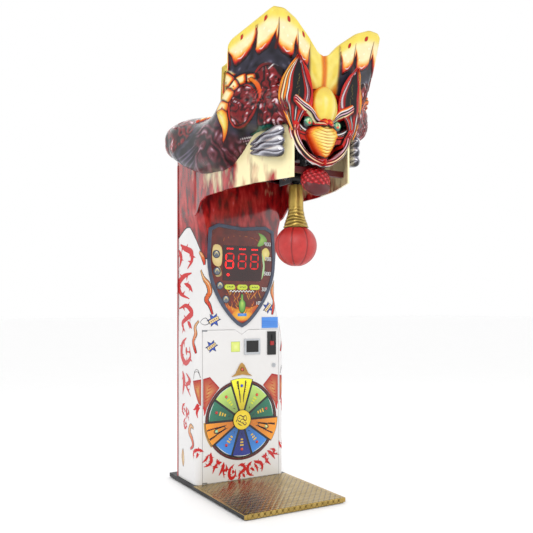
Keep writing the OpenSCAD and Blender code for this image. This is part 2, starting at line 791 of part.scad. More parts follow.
eye_x = 71;
eye_y = -648;
eye_z = 1831;
eye_r = 30;
face_y = -672;

// Raised features of the face: brow ridges and the lips around the mouth.
module face_relief() {
  both() {
    hull() {
      translate([66, face_y - 10, 1872]) sphere(r = 20, $fn = 20);
      translate([30, face_y - 18, 1832]) sphere(r = 13, $fn = 20);
      translate([150, face_y + 2, 1900]) sphere(r = 15, $fn = 20);
    }
    hull() {
      translate([142, -645, 1745]) sphere(r = 20, $fn = 20);
      translate([100, -658, 1690]) sphere(r = 17, $fn = 20);
      translate([110, -650, 1790]) sphere(r = 26, $fn = 20);
    }
    hull() {
      translate([100, -658, 1690]) sphere(r = 17, $fn = 20);
      translate([34, -668, 1644]) sphere(r = 14, $fn = 20);
    }
  }
}

module face_mask() {
  color("#b5352c") difference() {
    union() {
      intersection() {
        head_solid(0);
        box([-500, -800, 1500], [500, -620 - gap, 2300]);
      }
      face_relief();
    }
    head_solid(head_t);
    both() cheek(shell_t + gap);
    both() translate([eye_x, eye_y, eye_z]) sphere(r = eye_r + 0.1, $fn = fn_soft);
    plate_solid(gap);
    beak_solid(gap);
  }
}

// Egg-shaped plate on the forehead, a quarter wider than it is deep.
plate_ry = 56;
plate_wide = 1.25;
plate_rz = 92;
plate_y = -690;
plate_mid = 1906;
module plate_solid(g) {
  translate([0, plate_y, plate_mid]) scale([plate_wide, 1, 1]) rotate_extrude($fn = fn_round)
    polygon([for (i = [-12 : 12]) [(plate_ry + g) * cos(i * 7.5), (plate_rz + g) * sin(i * 7.5)]]);
}

module forehead_plate() {
  color("#e3c552") difference() {
    plate_solid(0);
    box([-100, face_y - gap, 1780], [100, -500, 2100]);
  }
}

module beak_solid(g) {
  hull() {
    translate([0, -690, 1792]) scale([44 + g, 20 + g, 24 + g]) sphere(r = 1, $fn = 24);
    translate([0, -682, 1735]) scale([40 + g, 22 + g, 24 + g]) sphere(r = 1, $fn = 20);
    translate([0, -676, 1668]) sphere(r = 14 + g, $fn = 20);
  }
}

module beak() {
  color("#e0a63a") difference() {
    beak_solid(0);
    plate_solid(gap);
    box([-100, face_y - gap, 1800], [100, -500, 1900]);
  }
}

module eyes() {
  color("#8fcf8a") both() translate([eye_x, eye_y, eye_z]) sphere(r = eye_r - 0.3, $fn = fn_round);
}

module ears() {
  color("#c04a30") both() difference() {
    hull() {
      translate([161, -728, 2094]) sphere(r = 8, $fn = 16);
      translate([222, -664, 1905]) sphere(r = 20, $fn = 20);
      translate([96, -704, 1925]) sphere(r = 18, $fn = 20);
    }
    hull() {
      translate([158, -756, 2050]) sphere(r = 6, $fn = 16);
      translate([188, -722, 1935]) sphere(r = 14, $fn = 20);
      translate([122, -740, 1945]) sphere(r = 14, $fn = 20);
    }
    head_solid(-gap);
    hull() {
      translate([66, face_y - 10, 1872]) sphere(r = 20.5, $fn = 20);
      translate([150, face_y + 2, 1900]) sphere(r = 15.5, $fn = 20);
    }
  }
}

module tongue_solid() {
  hull() {
    translate([0, -612, 1585]) scale([76, 42, 34]) sphere(r = 1, $fn = 24);
    translate([0, -632, 1548]) scale([68, 32, 40]) sphere(r = 1, $fn = 24);
    translate([0, -592, 1632]) scale([56, 28, 22]) sphere(r = 1, $fn = 24);
  }
}

// Tongue on a cross bar that ends at the two cheek walls.
bar_hw = 170;
module tongue() {
  color("#7c1c22") {
    difference() {
      tongue_solid();
      box([-300, -564, 1400], [300, 100, 1800]);
    }
    box([-bar_hw, -606, 1612], [bar_hw, -584, 1640]);
  }
}

// Three chrome outlet tubes on each side of the muzzle.
pipe_back = [262, -412, 1733];
pipe_front = [200, -638, 1733];
module exhaust_pipes() {
  color("#c9ccd1") both() for (i = [-1 : 1]) difference() {
    rod(pipe_back + [0, 0, i * 21], pipe_front + [0, 0, i * 43.4], 10, 21.5, $fn = fn_soft);
    rod(pipe_front + [11, 40, i * 43.4], pipe_front + [-5.5, -20, i * 43.4], 15, 15, $fn = fn_soft);
  }
}

base_frame();
base_feet();
tread_plate();
side_shell_left();
side_shell_right();
back_panel();
edge_trims();
panel_screws();
mast_frame();
shield_bezel();
display_panel();
display_window();
digit_modules();
emblem_lamps();
status_display();
control_board();
power_supply();
loudspeaker();
smoke_generator();
smoke_hoses();
power_inlet();
power_switch();
arm_bracket();
pivot_bearings();
arm_stop();
latch_solenoid();
latch_plunger();
latch_pawl();
pivot_shaft();
ball_arm();
ball_sleeve();
ball();
hinge_plates();
door_panel();
door_pins();
wheel_face();
wheel_lamps();
pointer();
coin_acceptor();
reject_button();
return_cup();
return_flap();
door_lock();
cash_cradle();
cash_box();
select_button_1();
select_button_2();
select_button_3();
throat_liner();
head_shell_left();
head_shell_right();
crest_left();
crest_right();
face_mask();
forehead_plate();
beak();
eyes();
ears();
tongue();
exhaust_pipes();
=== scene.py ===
import math

import bpy
import numpy as np
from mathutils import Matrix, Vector
from mathutils.bvhtree import BVHTree


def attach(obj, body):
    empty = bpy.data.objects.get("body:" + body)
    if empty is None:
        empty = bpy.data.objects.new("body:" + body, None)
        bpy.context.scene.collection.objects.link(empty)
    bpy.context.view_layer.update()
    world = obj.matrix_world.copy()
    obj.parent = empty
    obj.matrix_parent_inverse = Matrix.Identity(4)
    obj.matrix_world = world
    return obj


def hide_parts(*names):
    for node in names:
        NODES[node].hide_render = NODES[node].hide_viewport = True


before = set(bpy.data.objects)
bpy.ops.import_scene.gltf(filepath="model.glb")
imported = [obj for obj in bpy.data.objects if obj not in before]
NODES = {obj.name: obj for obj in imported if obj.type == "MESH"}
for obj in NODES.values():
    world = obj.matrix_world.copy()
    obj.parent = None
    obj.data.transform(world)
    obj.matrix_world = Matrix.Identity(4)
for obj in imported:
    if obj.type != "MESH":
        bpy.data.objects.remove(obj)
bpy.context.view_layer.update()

MM = 0.001
SIDES = (("left", -1), ("right", 1))
TURN = 2 * math.pi


# ------------------------------------------------------------- small maths

def keyed(keys, x):
    """Smooth curve through (position, value) pairs."""
    table = np.array(keys, float)
    xs, ys = table[:, 0], table[:, 1]
    slope = np.gradient(ys, xs)
    x = np.clip(x, xs[0], xs[-1])
    i = np.clip(np.searchsorted(xs, x) - 1, 0, len(xs) - 2)
    h = xs[i + 1] - xs[i]
    t = (x - xs[i]) / h
    start = (2 * t ** 3 - 3 * t ** 2 + 1) * ys[i] + (t ** 3 - 2 * t ** 2 + t) * h * slope[i]
    end = (3 * t ** 2 - 2 * t ** 3) * ys[i + 1] + (t ** 3 - t ** 2) * h * slope[i + 1]
    return start + end


def linear(keys, x):
    """Straight runs through (position, value) pairs."""
    table = np.array(keys, float)
    return np.interp(x, table[:, 0], table[:, 1])


def ease(low, high, x):
    """0 at low, 1 at high, smooth between; low may be the larger."""
    t = np.clip((x - low) / (high - low), 0, 1)
    return t * t * (3 - 2 * t)


def spline(points, steps=8, closed=False):
    """Catmull-Rom curve through the points."""
    p = np.array(points, float)
    if len(p) < 3:
        t = np.linspace(0, 1, steps + 1)[:, None]
        return p[0] * (1 - t) + p[-1] * t
    if closed:
        ring = np.vstack([p[-1:], p, p[:2]])
    else:
        ring = np.vstack([2 * p[:1] - p[1:2], p, 2 * p[-1:] - p[-2:-1]])
    t = np.linspace(0, 1, steps, endpoint=False)[:, None]
    out = []
    for a, b, c, d in zip(ring[:-3], ring[1:-2], ring[2:-1], ring[3:]):
        out.append(0.5 * (2 * b + (c - a) * t + (2 * a - 5 * b + 4 * c - d) * t ** 2 +
            (3 * b - a - 3 * c + d) * t ** 3))
    if not closed:
        out.append(p[-1:])
    return np.vstack(out)


def circle(count):
    return np.linspace(0, TURN, count, endpoint=False)


def stack(*parts):
    """Arrays side by side, spread to one shape first."""
    return np.stack(np.broadcast_arrays(*parts), -1)


def ball_grid(rows, around):
    """Latitude, longitude and unit directions over a ball."""
    lat = np.linspace(-math.pi / 2, math.pi / 2, rows)[:, None]
    lon = circle(around)[None, :]
    return lat, lon, stack(np.cos(lat) * np.cos(lon), np.cos(lat) * np.sin(lon), np.sin(lat))


def noise(u, v, seed=0):
    """Value noise from 0 to 1 on a unit lattice."""
    u, v = np.asarray(u, float), np.asarray(v, float)
    iu, iv = np.floor(u).astype(np.int64), np.floor(v).astype(np.int64)
    fu, fv = u - iu, v - iv
    fu, fv = fu * fu * (3 - 2 * fu), fv * fv * (3 - 2 * fv)

    def lattice(a, b):
        n = (a * 374761393 + b * 668265263 + seed * 974634777) & 0xFFFFFFFF
        n = ((n ^ (n >> 13)) * 1274126177) & 0xFFFFFFFF
        return ((n ^ (n >> 16)) & 0xFFFF) / 65535.0

    low = lattice(iu, iv) * (1 - fu) + lattice(iu + 1, iv) * fu
    high = lattice(iu, iv + 1) * (1 - fu) + lattice(iu + 1, iv + 1) * fu
    return low * (1 - fv) + high * fv


# ------------------------------------------------------------------ colours

YELLOW = (0.95, 0.86, 0.38)
CREAM = (0.97, 0.92, 0.72)
ORANGE = (0.95, 0.52, 0.10)
RED = (0.80, 0.10, 0.07)
MAROON = (0.36, 0.05, 0.07)
DARK = (0.10, 0.03, 0.05)
BLACK = (0.035, 0.03, 0.04)
SLATE = (0.22, 0.21, 0.27)
PINK = (0.88, 0.72, 0.78)
WHITE = (0.95, 0.94, 0.93)
TEAL = (0.10, 0.42, 0.36)
WHITE_GLOSS = (0.90, 0.895, 0.89)
BRASS = (0.80, 0.68, 0.40)


def to_linear(c):
    """Linear light from display colours."""
    c = np.asarray(c, float)
    return np.where(c <= 0.04045, c / 12.92, ((c + 0.055) / 1.055) ** 2.4)


def ramp(t, stops):
    """Colours along t for (position, colour) stops."""
    at = [s[0] for s in stops]
    return stack(*[np.interp(t, at, [s[1][k] for s in stops]) for k in range(3)])


class Paint:
    """Colour and relief laid on points (u, v) in millimetres."""

    def __init__(self, u, v, colour):
        self.shape = u.shape
        self.u, self.v = u.ravel(), v.ravel()
        self.col = np.tile(np.array(colour, float), (self.u.size, 1))
        self.h = np.zeros(self.u.size)

    def mix(self, weight, colour, where=None):
        where = slice(None) if where is None else where
        w = np.asarray(weight)[..., None]
        self.col[where] = self.col[where] * (1 - w) + np.asarray(colour, float) * w

    def distance(self, path, reach, closed=False):
        """Nearest distance to a path, and how far along it, for the points within reach."""
        path = np.vstack([path, path[:1]]) if closed else path
        lo, hi = path.min(0) - reach, path.max(0) + reach
        near = np.where((self.u > lo[0]) & (self.u < hi[0]) & (self.v > lo[1]) & (self.v < hi[1]))[0]
        p = stack(self.u[near], self.v[near])
        best = np.full(len(near), 1e9)
        along = np.zeros(len(near))
        n = len(path) - 1
        for i in range(n):
            a, d = path[i], path[i + 1] - path[i]
            t = np.clip(((p - a) @ d) / max(d @ d, 1e-9), 0, 1)
            far = np.hypot(*(p - a - t[:, None] * d).T)
            hit = far < best
            best[hit] = far[hit]
            along[hit] = (i + t[hit]) / n
        return near, best, along

    def stroke(self, points, width, colour, end=None, edge=None, rim=3, soft=1.6, lift=0, closed=False):
        """A brush stroke: width is one number or a list along the stroke."""
        path = spline(points, 6, closed)
        widths = np.atleast_1d(np.array(width, float))
        near, far, along = self.distance(path, widths.max() + rim + 6, closed)
        half = np.interp(along, np.linspace(0, 1, len(widths)), widths) if len(widths) > 1 else widths[0]
        if edge is not None:
            self.mix(1 - ease(-soft, soft, far - half - rim), edge, near)
        if end is None:
            shade = np.asarray(colour, float)
        else:
            shade = ramp(along, [(0, colour), (1, end)])
        self.mix(1 - ease(-soft, soft, far - half), shade, near)
        if lift:
            self.h[near] += lift * np.sqrt(np.clip(1 - (far / (half + rim)) ** 2, 0, 1))

    def inside(self, points, steps=6, reach=12):
        """Signed distance to a closed outline, negative inside."""
        path = spline(points, steps, True)
        near, far, _ = self.distance(path, reach, True)
        u, v = self.u[near], self.v[near]
        odd = np.zeros(len(near), bool)
        for a, b in zip(path, np.roll(path, -1, 0)):
            if a[1] != b[1]:
                cross = (a[1] > v) != (b[1] > v)
                odd ^= cross & (u < (b[0] - a[0]) * (v - a[1]) / (b[1] - a[1]) + a[0])
        return near, np.where(odd, -far, far)

    def fill(self, points, colour, edge=None, rim=4, soft=1.8, lift=0, depth=30, stops=None, steps=6):
        """A closed shape; stops colours it by its depth from the outline."""
        near, far = self.inside(points, steps, rim + 8)
        if edge is not None:
            self.mix(1 - ease(-soft, soft, far - rim), edge, near)
        shade = np.asarray(colour, float) if stops is None else ramp(-far, stops)
        self.mix(1 - ease(-soft, soft, far), shade, near)
        if lift:
            self.h[near] += lift * ease(0, depth, -far)
        return near, far

    def sinew(self, near, weight, size, seed, angle=0.0, lift=2.0, colours=None):
        """Winding muscle strands: bands of a warped wave, dark in the folds and pale on the crests."""
        stops = colours or [(-1, DARK), (-0.55, DARK), (-0.1, MAROON), (0.45, (0.52, 0.09, 0.11)),
            (0.72, (0.6, 0.18, 0.2)), (0.88, PINK), (1, WHITE)]
        u, v = self.u[near] / size, self.v[near] / size
        ca, sa = math.cos(angle), math.sin(angle)
        a, b = u * ca + v * sa, v * ca - u * sa
        warp = 2.2 * noise(a * 0.42, b * 0.42, seed) + 0.8 * noise(a, b, seed + 1)
        bend = 2.2 * noise(a * 0.42 + 9, b * 0.42 + 4, seed + 2)
        wave = np.sin(TURN * (a * 0.36 + warp)) * 0.65 + np.sin(TURN * (b * 0.2 + bend)) * 0.35
        dash = noise(a * 1.1, b * 1.1, seed + 3)
        tone = np.where(wave > 0.5, wave - 0.45 * (dash < 0.45), wave)
        self.mix(weight, ramp(tone, stops), near)
        self.h[near] += lift * weight * np.clip(wave + 0.6, 0, 1.4)


# ---------------------------------------------------------------- materials

def nodes_of(name):
    m = bpy.data.materials.new(name)
    m.use_nodes = True
    tree = m.node_tree
    return m, tree.nodes, tree.links, tree.nodes["Principled BSDF"]


def add_noise(nodes, links, scale, detail=4.0, kind="ShaderNodeTexNoise", stretch=None):
    coord = nodes.new("ShaderNodeTexCoord")
    tex = nodes.new(kind)
    tex.inputs["Scale"].default_value = scale
    if "Detail" in tex.inputs:
        tex.inputs["Detail"].default_value = detail
    source = coord.outputs["Object"]
    if stretch:
        mapping = nodes.new("ShaderNodeMapping")
        mapping.inputs["Scale"].default_value = stretch
        links.new(source, mapping.inputs["Vector"])
        source = mapping.outputs["Vector"]
    links.new(source, tex.inputs["Vector"])
    return tex


def mix_colour(nodes, links, factor, a, b, blend="MIX"):
    mix = nodes.new("ShaderNodeMix")
    mix.data_type = "RGBA"
    mix.blend_type = blend
    for value, socket in ((factor, mix.inputs[0]), (a, mix.inputs[6]), (b, mix.inputs[7])):
        if hasattr(value, "is_linked"):
            links.new(value, socket)
        elif isinstance(value, (int, float)):
            socket.default_value = value
        else:
            socket.default_value = (*to_linear(value), 1)
    return mix.outputs[2]


def calc(nodes, links, kind, *values):
    node = nodes.new("ShaderNodeMath")
    node.operation = kind
    for value, socket in zip(values, node.inputs):
        if hasattr(value, "is_linked"):
            links.new(value, socket)
        else:
            socket.default_value = value
    return node.outputs[0]


def finish_material(kit, base, rough=(0.3, 0.4), metal=0.0, coat=0.0, bump=0.1, bump_scale=300.0,
        grain="ShaderNodeTexNoise", glow=0.0, mirror=0.5):
    """Connects a colour to the shader with uneven roughness and a fine bump."""
    m, nodes, links, shader = kit
    links.new(base, shader.inputs["Base Color"])
    shader.inputs["Metallic"].default_value = metal
    shader.inputs["Specular IOR Level"].default_value = mirror
    shader.inputs["Coat Weight"].default_value = coat
    shader.inputs["Coat Roughness"].default_value = 0.06
    wear = add_noise(nodes, links, 9.0, 6.0)
    span = nodes.new("ShaderNodeMapRange")
    links.new(wear.outputs[0], span.inputs["Value"])
    span.inputs["From Min"].default_value = 0.3
    span.inputs["From Max"].default_value = 0.7
    span.inputs["To Min"].default_value = rough[0]
    span.inputs["To Max"].default_value = rough[1]
    links.new(span.outputs[0], shader.inputs["Roughness"])
    if bump:
        fine = add_noise(nodes, links, bump_scale, 3.0, grain)
        node = nodes.new("ShaderNodeBump")
        node.inputs["Strength"].default_value = bump
        node.inputs["Distance"].default_value = 0.001
        links.new(fine.outputs[0], node.inputs["Height"])
        links.new(node.outputs[0], shader.inputs["Normal"])
    if glow:
        links.new(base, shader.inputs["Emission Color"])
        shader.inputs["Emission Strength"].default_value = glow
    return m


def plain(name, colour, other, scale, detail=5.0, stretch=None, **more):
    """Two tones of one colour, mixed by noise."""
    kit = nodes_of(name)
    tex = add_noise(kit[1], kit[2], scale, detail, stretch=stretch)
    base = mix_colour(kit[1], kit[2], tex.outputs[0], colour, other)
    return finish_material(kit, base, **more)


def painted(name, dirt=0.12, **more):
    """The colour attribute called paint, slightly clouded."""
    kit = nodes_of(name)
    attribute = kit[1].new("ShaderNodeVertexColor")
    attribute.layer_name = "paint"
    tex = add_noise(kit[1], kit[2], 30.0, 6.0)
    cloud = mix_colour(kit[1], kit[2], tex.outputs[0], (1, 1, 1), (1 - dirt,) * 3)
    base = mix_colour(kit[1], kit[2], 1.0, attribute.outputs[0], cloud, "MULTIPLY")
    return finish_material(kit, base, **more)


def cabinet_material():
    """White gloss below a wavy black-lined edge, red and maroon airbrush above it."""
    edge_z, edge_wave, line_half = 1.402, 0.036, 0.004
    front_half, front_drop, most_drop = 0.262, 3.4, 0.115
    kit = nodes_of("cabinet_gloss")
    _, nodes, links, _ = kit

    def op(kind, *values):
        return calc(nodes, links, kind, *values)

    coord = nodes.new("ShaderNodeTexCoord")
    split = nodes.new("ShaderNodeSeparateXYZ")
    links.new(coord.outputs["Object"], split.inputs[0])
    x, y, z = split.outputs
    # The edge waves along the sides and drops across the front.
    side = op("ABSOLUTE", x)
    wave = op("SINE", op("MULTIPLY_ADD", y, 19.0, -3.2))
    drop = op("MULTIPLY", op("SUBTRACT", front_half, side), front_drop)
    drop = op("MINIMUM", op("MAXIMUM", drop, 0.0), most_drop)
    edge = op("SUBTRACT", op("MULTIPLY_ADD", wave, edge_wave, edge_z), drop)
    height = op("SUBTRACT", z, edge)
    # Red with dark veins, which turns to cream high up and far forward.
    veins = add_noise(nodes, links, 26.0, 6.0, stretch=(1.0, 1.0, 0.35))
    band = nodes.new("ShaderNodeValToRGB")
    links.new(veins.outputs[0], band.inputs[0])
    for pos, c in ((0.40, MAROON), (0.52, (0.62, 0.08, 0.09)), (0.66, (0.74, 0.20, 0.19))):
        e = band.color_ramp.elements.new(pos)
        e.color = (*to_linear(c), 1)
    band.color_ramp.elements[0].color = (*to_linear(DARK), 1)
    band.color_ramp.elements[-1].color = (*to_linear(PINK), 1)
    cream = op("ADD", op("MULTIPLY_ADD", z, 6.0, -9.7), op("MULTIPLY_ADD", y, -3.0, -0.5))
    tongues = add_noise(nodes, links, 13.0, 3.0, stretch=(1.0, 1.0, 0.4))
    cream = op("ADD", cream, op("MULTIPLY_ADD", tongues.outputs[0], 5.0, -2.6))
    cloud = add_noise(nodes, links, 3.6, 5.0, stretch=(1.0, 1.0, 0.55))
    rise = nodes.new("ShaderNodeClamp")
    links.new(op("MULTIPLY_ADD", cloud.outputs[0], 0.4, cream), rise.inputs[0])
    red = mix_colour(nodes, links, rise.outputs[0], band.outputs[0], CREAM)
    soft = add_noise(nodes, links, 5.0, 4.0)
    white = mix_colour(nodes, links, soft.outputs[0], WHITE_GLOSS, (0.855, 0.85, 0.85))
    both = mix_colour(nodes, links, op("GREATER_THAN", height, 0.0), white, red)
    line = op("LESS_THAN", op("ABSOLUTE", height), line_half)
    both = mix_colour(nodes, links, line, both, BLACK)
    return finish_material(kit, both, rough=(0.12, 0.24), coat=0.5, bump=0.03, bump_scale=60.0)


MATERIALS = {
    "cabinet": cabinet_material(),
    "door": plain("door_gloss", WHITE_GLOSS, (0.86, 0.855, 0.85), 5, rough=(0.12, 0.22), coat=0.5,
        bump=0.03, bump_scale=60.0),
    "black_steel": plain("black_steel_coat", (0.06, 0.06, 0.065), (0.035, 0.035, 0.04), 60,
        rough=(0.4, 0.55), bump=0.25, bump_scale=900.0),
    "rubber": plain("foot_rubber_dark", (0.055, 0.055, 0.055), (0.03, 0.03, 0.03), 90, rough=(0.7, 0.85),
        bump=0.3, bump_scale=700.0),
    "brass": plain("tread_brass_sheet", BRASS, (0.62, 0.50, 0.26), 9, rough=(0.12, 0.3), metal=1.0,
        bump=0.08, bump_scale=500.0),
    "trim": plain("trim_red_gloss", (0.72, 0.10, 0.10), (0.6, 0.07, 0.07), 20, rough=(0.2, 0.3), coat=0.4),
    "zinc": plain("zinc_plate", (0.68, 0.69, 0.71), (0.55, 0.56, 0.58), 40, rough=(0.28, 0.42), metal=1.0,
        bump=0.1, bump_scale=400.0, stretch=(1, 1, 12)),
    "slate": plain("bezel_slate_gloss", (0.30, 0.34, 0.43), (0.15, 0.18, 0.25), 34, rough=(0.25, 0.36),
        coat=0.3),
    "panel": plain("panel_print_ground", (0.50, 0.14, 0.07), (0.10, 0.03, 0.04), 22, rough=(0.2, 0.3),
        coat=0.5),
    "digit": plain("digit_housing", (0.09, 0.02, 0.02), (0.05, 0.01, 0.015), 50, rough=(0.4, 0.5)),
    "emblem": plain("emblem_grey_gloss", (0.50, 0.54, 0.60), (0.2, 0.23, 0.29), 120, rough=(0.2, 0.3),
        coat=0.4),
    "status": plain("status_blue_lit", (0.09, 0.34, 0.72), (0.30, 0.60, 0.90), 12, stretch=(0.4, 1, 14),
        rough=(0.15, 0.22), coat=0.6, glow=0.12),
    "board": plain("board_green_mask", (0.04, 0.26, 0.13), (0.02, 0.17, 0.08), 160, rough=(0.3, 0.45)),
    "alu": plain("case_alu_sheet", (0.72, 0.73, 0.74), (0.6, 0.61, 0.62), 30, rough=(0.3, 0.45), metal=1.0,
        stretch=(1, 1, 16)),
    "dark_plastic": plain("black_moulding", (0.07, 0.07, 0.075), (0.04, 0.04, 0.045), 70, rough=(0.35, 0.5),
        bump=0.2, bump_scale=800.0),
    "grey": plain("case_grey_coat", (0.27, 0.28, 0.30), (0.2, 0.21, 0.23), 50, rough=(0.4, 0.55), bump=0.2,
        bump_scale=900.0),
    "switch": plain("switch_red_gloss", (0.70, 0.07, 0.05), (0.55, 0.04, 0.03), 40, rough=(0.2, 0.3),
        coat=0.4),
    "bearing": plain("ground_steel", (0.80, 0.81, 0.82), (0.66, 0.67, 0.69), 25, rough=(0.16, 0.26),
        metal=1.0),
    "chrome": plain("cup_chrome_plate", (0.86, 0.87, 0.88), (0.7, 0.71, 0.73), 18, rough=(0.07, 0.16),
        metal=1.0),
    "gold": plain("pointer_gold_print", (0.80, 0.62, 0.26), (0.55, 0.36, 0.10), 30, rough=(0.25, 0.35),
        coat=0.4),
    "oval": plain("button_green_gloss", (0.80, 0.84, 0.22), (0.62, 0.70, 0.14), 30, rough=(0.15, 0.25),
        coat=0.6, glow=0.15),
    "throat": plain("throat_maroon_skin", (0.42, 0.06, 0.08), (0.22, 0.03, 0.05), 14, rough=(0.35, 0.5),
        bump=0.3, bump_scale=60.0),
    "print": painted("printed_ink", 0.08, rough=(0.2, 0.3), coat=0.3, bump=0.04, bump_scale=300.0),
    "lit": painted("lit_segments", 0.05, rough=(0.2, 0.3), glow=1.6, bump=0.0),
    "skin": painted("painted_fibreglass", 0.14, rough=(0.26, 0.4), coat=0.12, bump=0.10, bump_scale=120.0,
        mirror=0.25),
    "tread": painted("tread_brass_bosses", 0.2, rough=(0.14, 0.3), metal=1.0, bump=0.05, bump_scale=400.0),
    "leather": painted("ball_leather", 0.18, rough=(0.34, 0.46), coat=0.12, bump=0.35, bump_scale=420.0,
        grain="ShaderNodeTexVoronoi"),
    "vinyl": painted("sleeve_gold_vinyl", 0.2, rough=(0.26, 0.4), metal=0.75, bump=0.25, bump_scale=260.0),
    "eye": painted("eye_glass", 0.02, rough=(0.06, 0.12), coat=1.0, bump=0.0),
    # Carries the painted reflections of the chrome lobes, held as light and dark bands in the paint
    # colours.
    "airbrush": painted("chrome_painted_reflection", 0.05, rough=(0.10, 0.2), metal=0.55, coat=0.6, bump=0.02),
    "window": plain("window_red_acrylic", (0.20, 0.015, 0.02), (0.13, 0.01, 0.015), 8.0, 4.0,
        rough=(0.08, 0.14), coat=0.6, bump=0.0),
    "floor": plain("floor_pale", (0.995, 0.995, 0.995), (0.985, 0.985, 0.985), 2.0, 4.0, rough=(0.6, 0.7),
        bump=0.0),
}

USES = {
    "black_steel": "base_frame mast_frame ball_arm",
    "rubber": "base_feet arm_stop",
    "brass": "tread_plate",
    "cabinet": "side_shell_left side_shell_right",
    "door": "back_panel door_panel",
    "trim": "edge_trims",
    "zinc": "panel_screws latch_plunger latch_pawl hinge_plates door_pins",
    "slate": "shield_bezel",
    "panel": "display_panel",
    "digit": "digit_modules",
    "window": "display_window",
    "emblem": "emblem_lamps",
    "status": "status_display",
    "board": "control_board",
    "alu": "power_supply cash_box",
    "dark_plastic": "loudspeaker smoke_hoses power_inlet coin_acceptor return_flap",
    "grey": "smoke_generator arm_bracket latch_solenoid cash_cradle",
    "switch": "power_switch reject_button",
    "bearing": "pivot_bearings pivot_shaft door_lock",
    "chrome": "return_cup exhaust_pipes",
    "gold": "pointer wheel_face",
    "oval": "select_button_1 select_button_2 select_button_3",
    "throat": "throat_liner face_mask beak ears tongue forehead_plate",
    "skin": "head_shell_left head_shell_right crest_left crest_right eyes",
}


WELD = 0.00002
SHARP = math.radians(32)


def smooth_group():
    """Geometry nodes: weld, then smooth shading with sharp edges above an angle."""
    group = bpy.data.node_groups.new("smooth_by_angle", "GeometryNodeTree")
    group.interface.new_socket("Geometry", in_out="INPUT", socket_type="NodeSocketGeometry")
    group.interface.new_socket("Geometry", in_out="OUTPUT", socket_type="NodeSocketGeometry")
    make, link = group.nodes.new, group.links.new
    source, target = make("NodeGroupInput"), make("NodeGroupOutput")
    weld = make("GeometryNodeMergeByDistance")
    weld.inputs["Distance"].default_value = WELD
    faces, edges = make("GeometryNodeSetShadeSmooth"), make("GeometryNodeSetShadeSmooth")
    edges.domain = "EDGE"
    angle, over = make("GeometryNodeInputMeshEdgeAngle"), make("FunctionNodeCompare")
    over.inputs[1].default_value = SHARP
    link(source.outputs[0], weld.inputs["Geometry"])
    link(weld.outputs[0], faces.inputs["Geometry"])
    link(faces.outputs[0], edges.inputs["Geometry"])
    link(angle.outputs["Unsigned Angle"], over.inputs[0])
    link(over.outputs[0], edges.inputs["Selection"])
    edges.inputs["Shade Smooth"].default_value = False
    link(edges.outputs[0], target.inputs[0])
    return group


SMOOTH = smooth_group()
# Bevel widths in millimetres.
BEVELS = {"base_frame": 1.2, "door_panel": 1.5, "shield_bezel": 1.6, "coin_acceptor": 1.2,
    "return_cup": 1.2, "status_display": 1.0, "mast_frame": 2.0, "edge_trims": 0.5, "back_panel": 1.5,
    "cash_box": 0.3, "tread_plate": 0.6, "pointer": 0.8, "reject_button": 0.8, "arm_bracket": 0.8,
    "emblem_lamps": 0.8}

for key, names in USES.items():
    for name in names.split():
        node = NODES[name]
        node.data.materials.clear()
        node.data.materials.append(MATERIALS[key])
for name, node in NODES.items():
    if "custom_normal" in node.data.attributes:
        node.data.attributes.remove(node.data.attributes["custom_normal"])
    weld = node.modifiers.new("smooth", "NODES")
    weld.node_group = SMOOTH
    if name in BEVELS:
        bevel = node.modifiers.new("bevel", "BEVEL")
        bevel.width = BEVELS[name] * MM
        bevel.segments = 2
        bevel.limit_method = "ANGLE"
        bevel.angle_limit = math.radians(40)
        bevel.harden_normals = True


# ------------------------------------------------------------------- meshes

def new_mesh(name, points, faces, colours=None, material="skin", body="machine", slot="head_skin",
        smooth=True):
    """An object from points in millimetres, with its paint, material and body; slot is not used."""
    mesh = bpy.data.meshes.new(name)
    points = np.reshape(points, (-1, 3))
    mesh.from_pydata((points * MM).tolist(), [], [list(map(int, f)) for f in faces])
    if colours is not None:
        layer = mesh.color_attributes.new("paint", "FLOAT_COLOR", "POINT")
        rgba = np.ones((len(points), 4))
        rgba[:, :3] = to_linear(np.clip(colours, 0, 1))
        layer.data.foreach_set("color", rgba.ravel())
    mesh.polygons.foreach_set("use_smooth", [smooth] * len(mesh.polygons))
    mesh.update()
    obj = bpy.data.objects.new(name, mesh)
    bpy.context.scene.collection.objects.link(obj)
    mesh.materials.append(MATERIALS[material])
    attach(obj, body)
    return obj


def grid_faces(rows, cols, wrap=False, flip=False, start=0):
    i = np.arange(rows - 1)[:, None] * cols
    j = np.arange(cols if wrap else cols - 1)[None, :]
    k = (j + 1) % cols
    quads = np.stack([i + j, i + k, i + cols + k, i + cols + j], -1).reshape(-1, 4) + start
    return quads[:, ::-1] if flip else quads


def grid_normals(p):
    """Unit normals of a grid of points."""
    n = np.cross(np.gradient(p, axis=0), np.gradient(p, axis=1))
    return n / np.maximum(np.linalg.norm(n, axis=-1, keepdims=True), 1e-9)


def thicken(obj, thickness, offset=-1.0):
    shell = obj.modifiers.new("thickness", "SOLIDIFY")
    shell.thickness = thickness * MM
    shell.offset = offset


def sheet_grid(name, points, paint, thickness=6.0, flip=False, **more):
    """A painted, embossed grid with thickness behind it."""
    rows, cols = points.shape[:2]
    normal = grid_normals(points) * (-1 if flip else 1)
    high = points + normal * paint.h.reshape(rows, cols, 1)
    obj = new_mesh(name, high, grid_faces(rows, cols, flip=flip), paint.col, **more)
    if thickness:
        thicken(obj, thickness)
    return obj


# -------------------------------------------------------------- tread plate

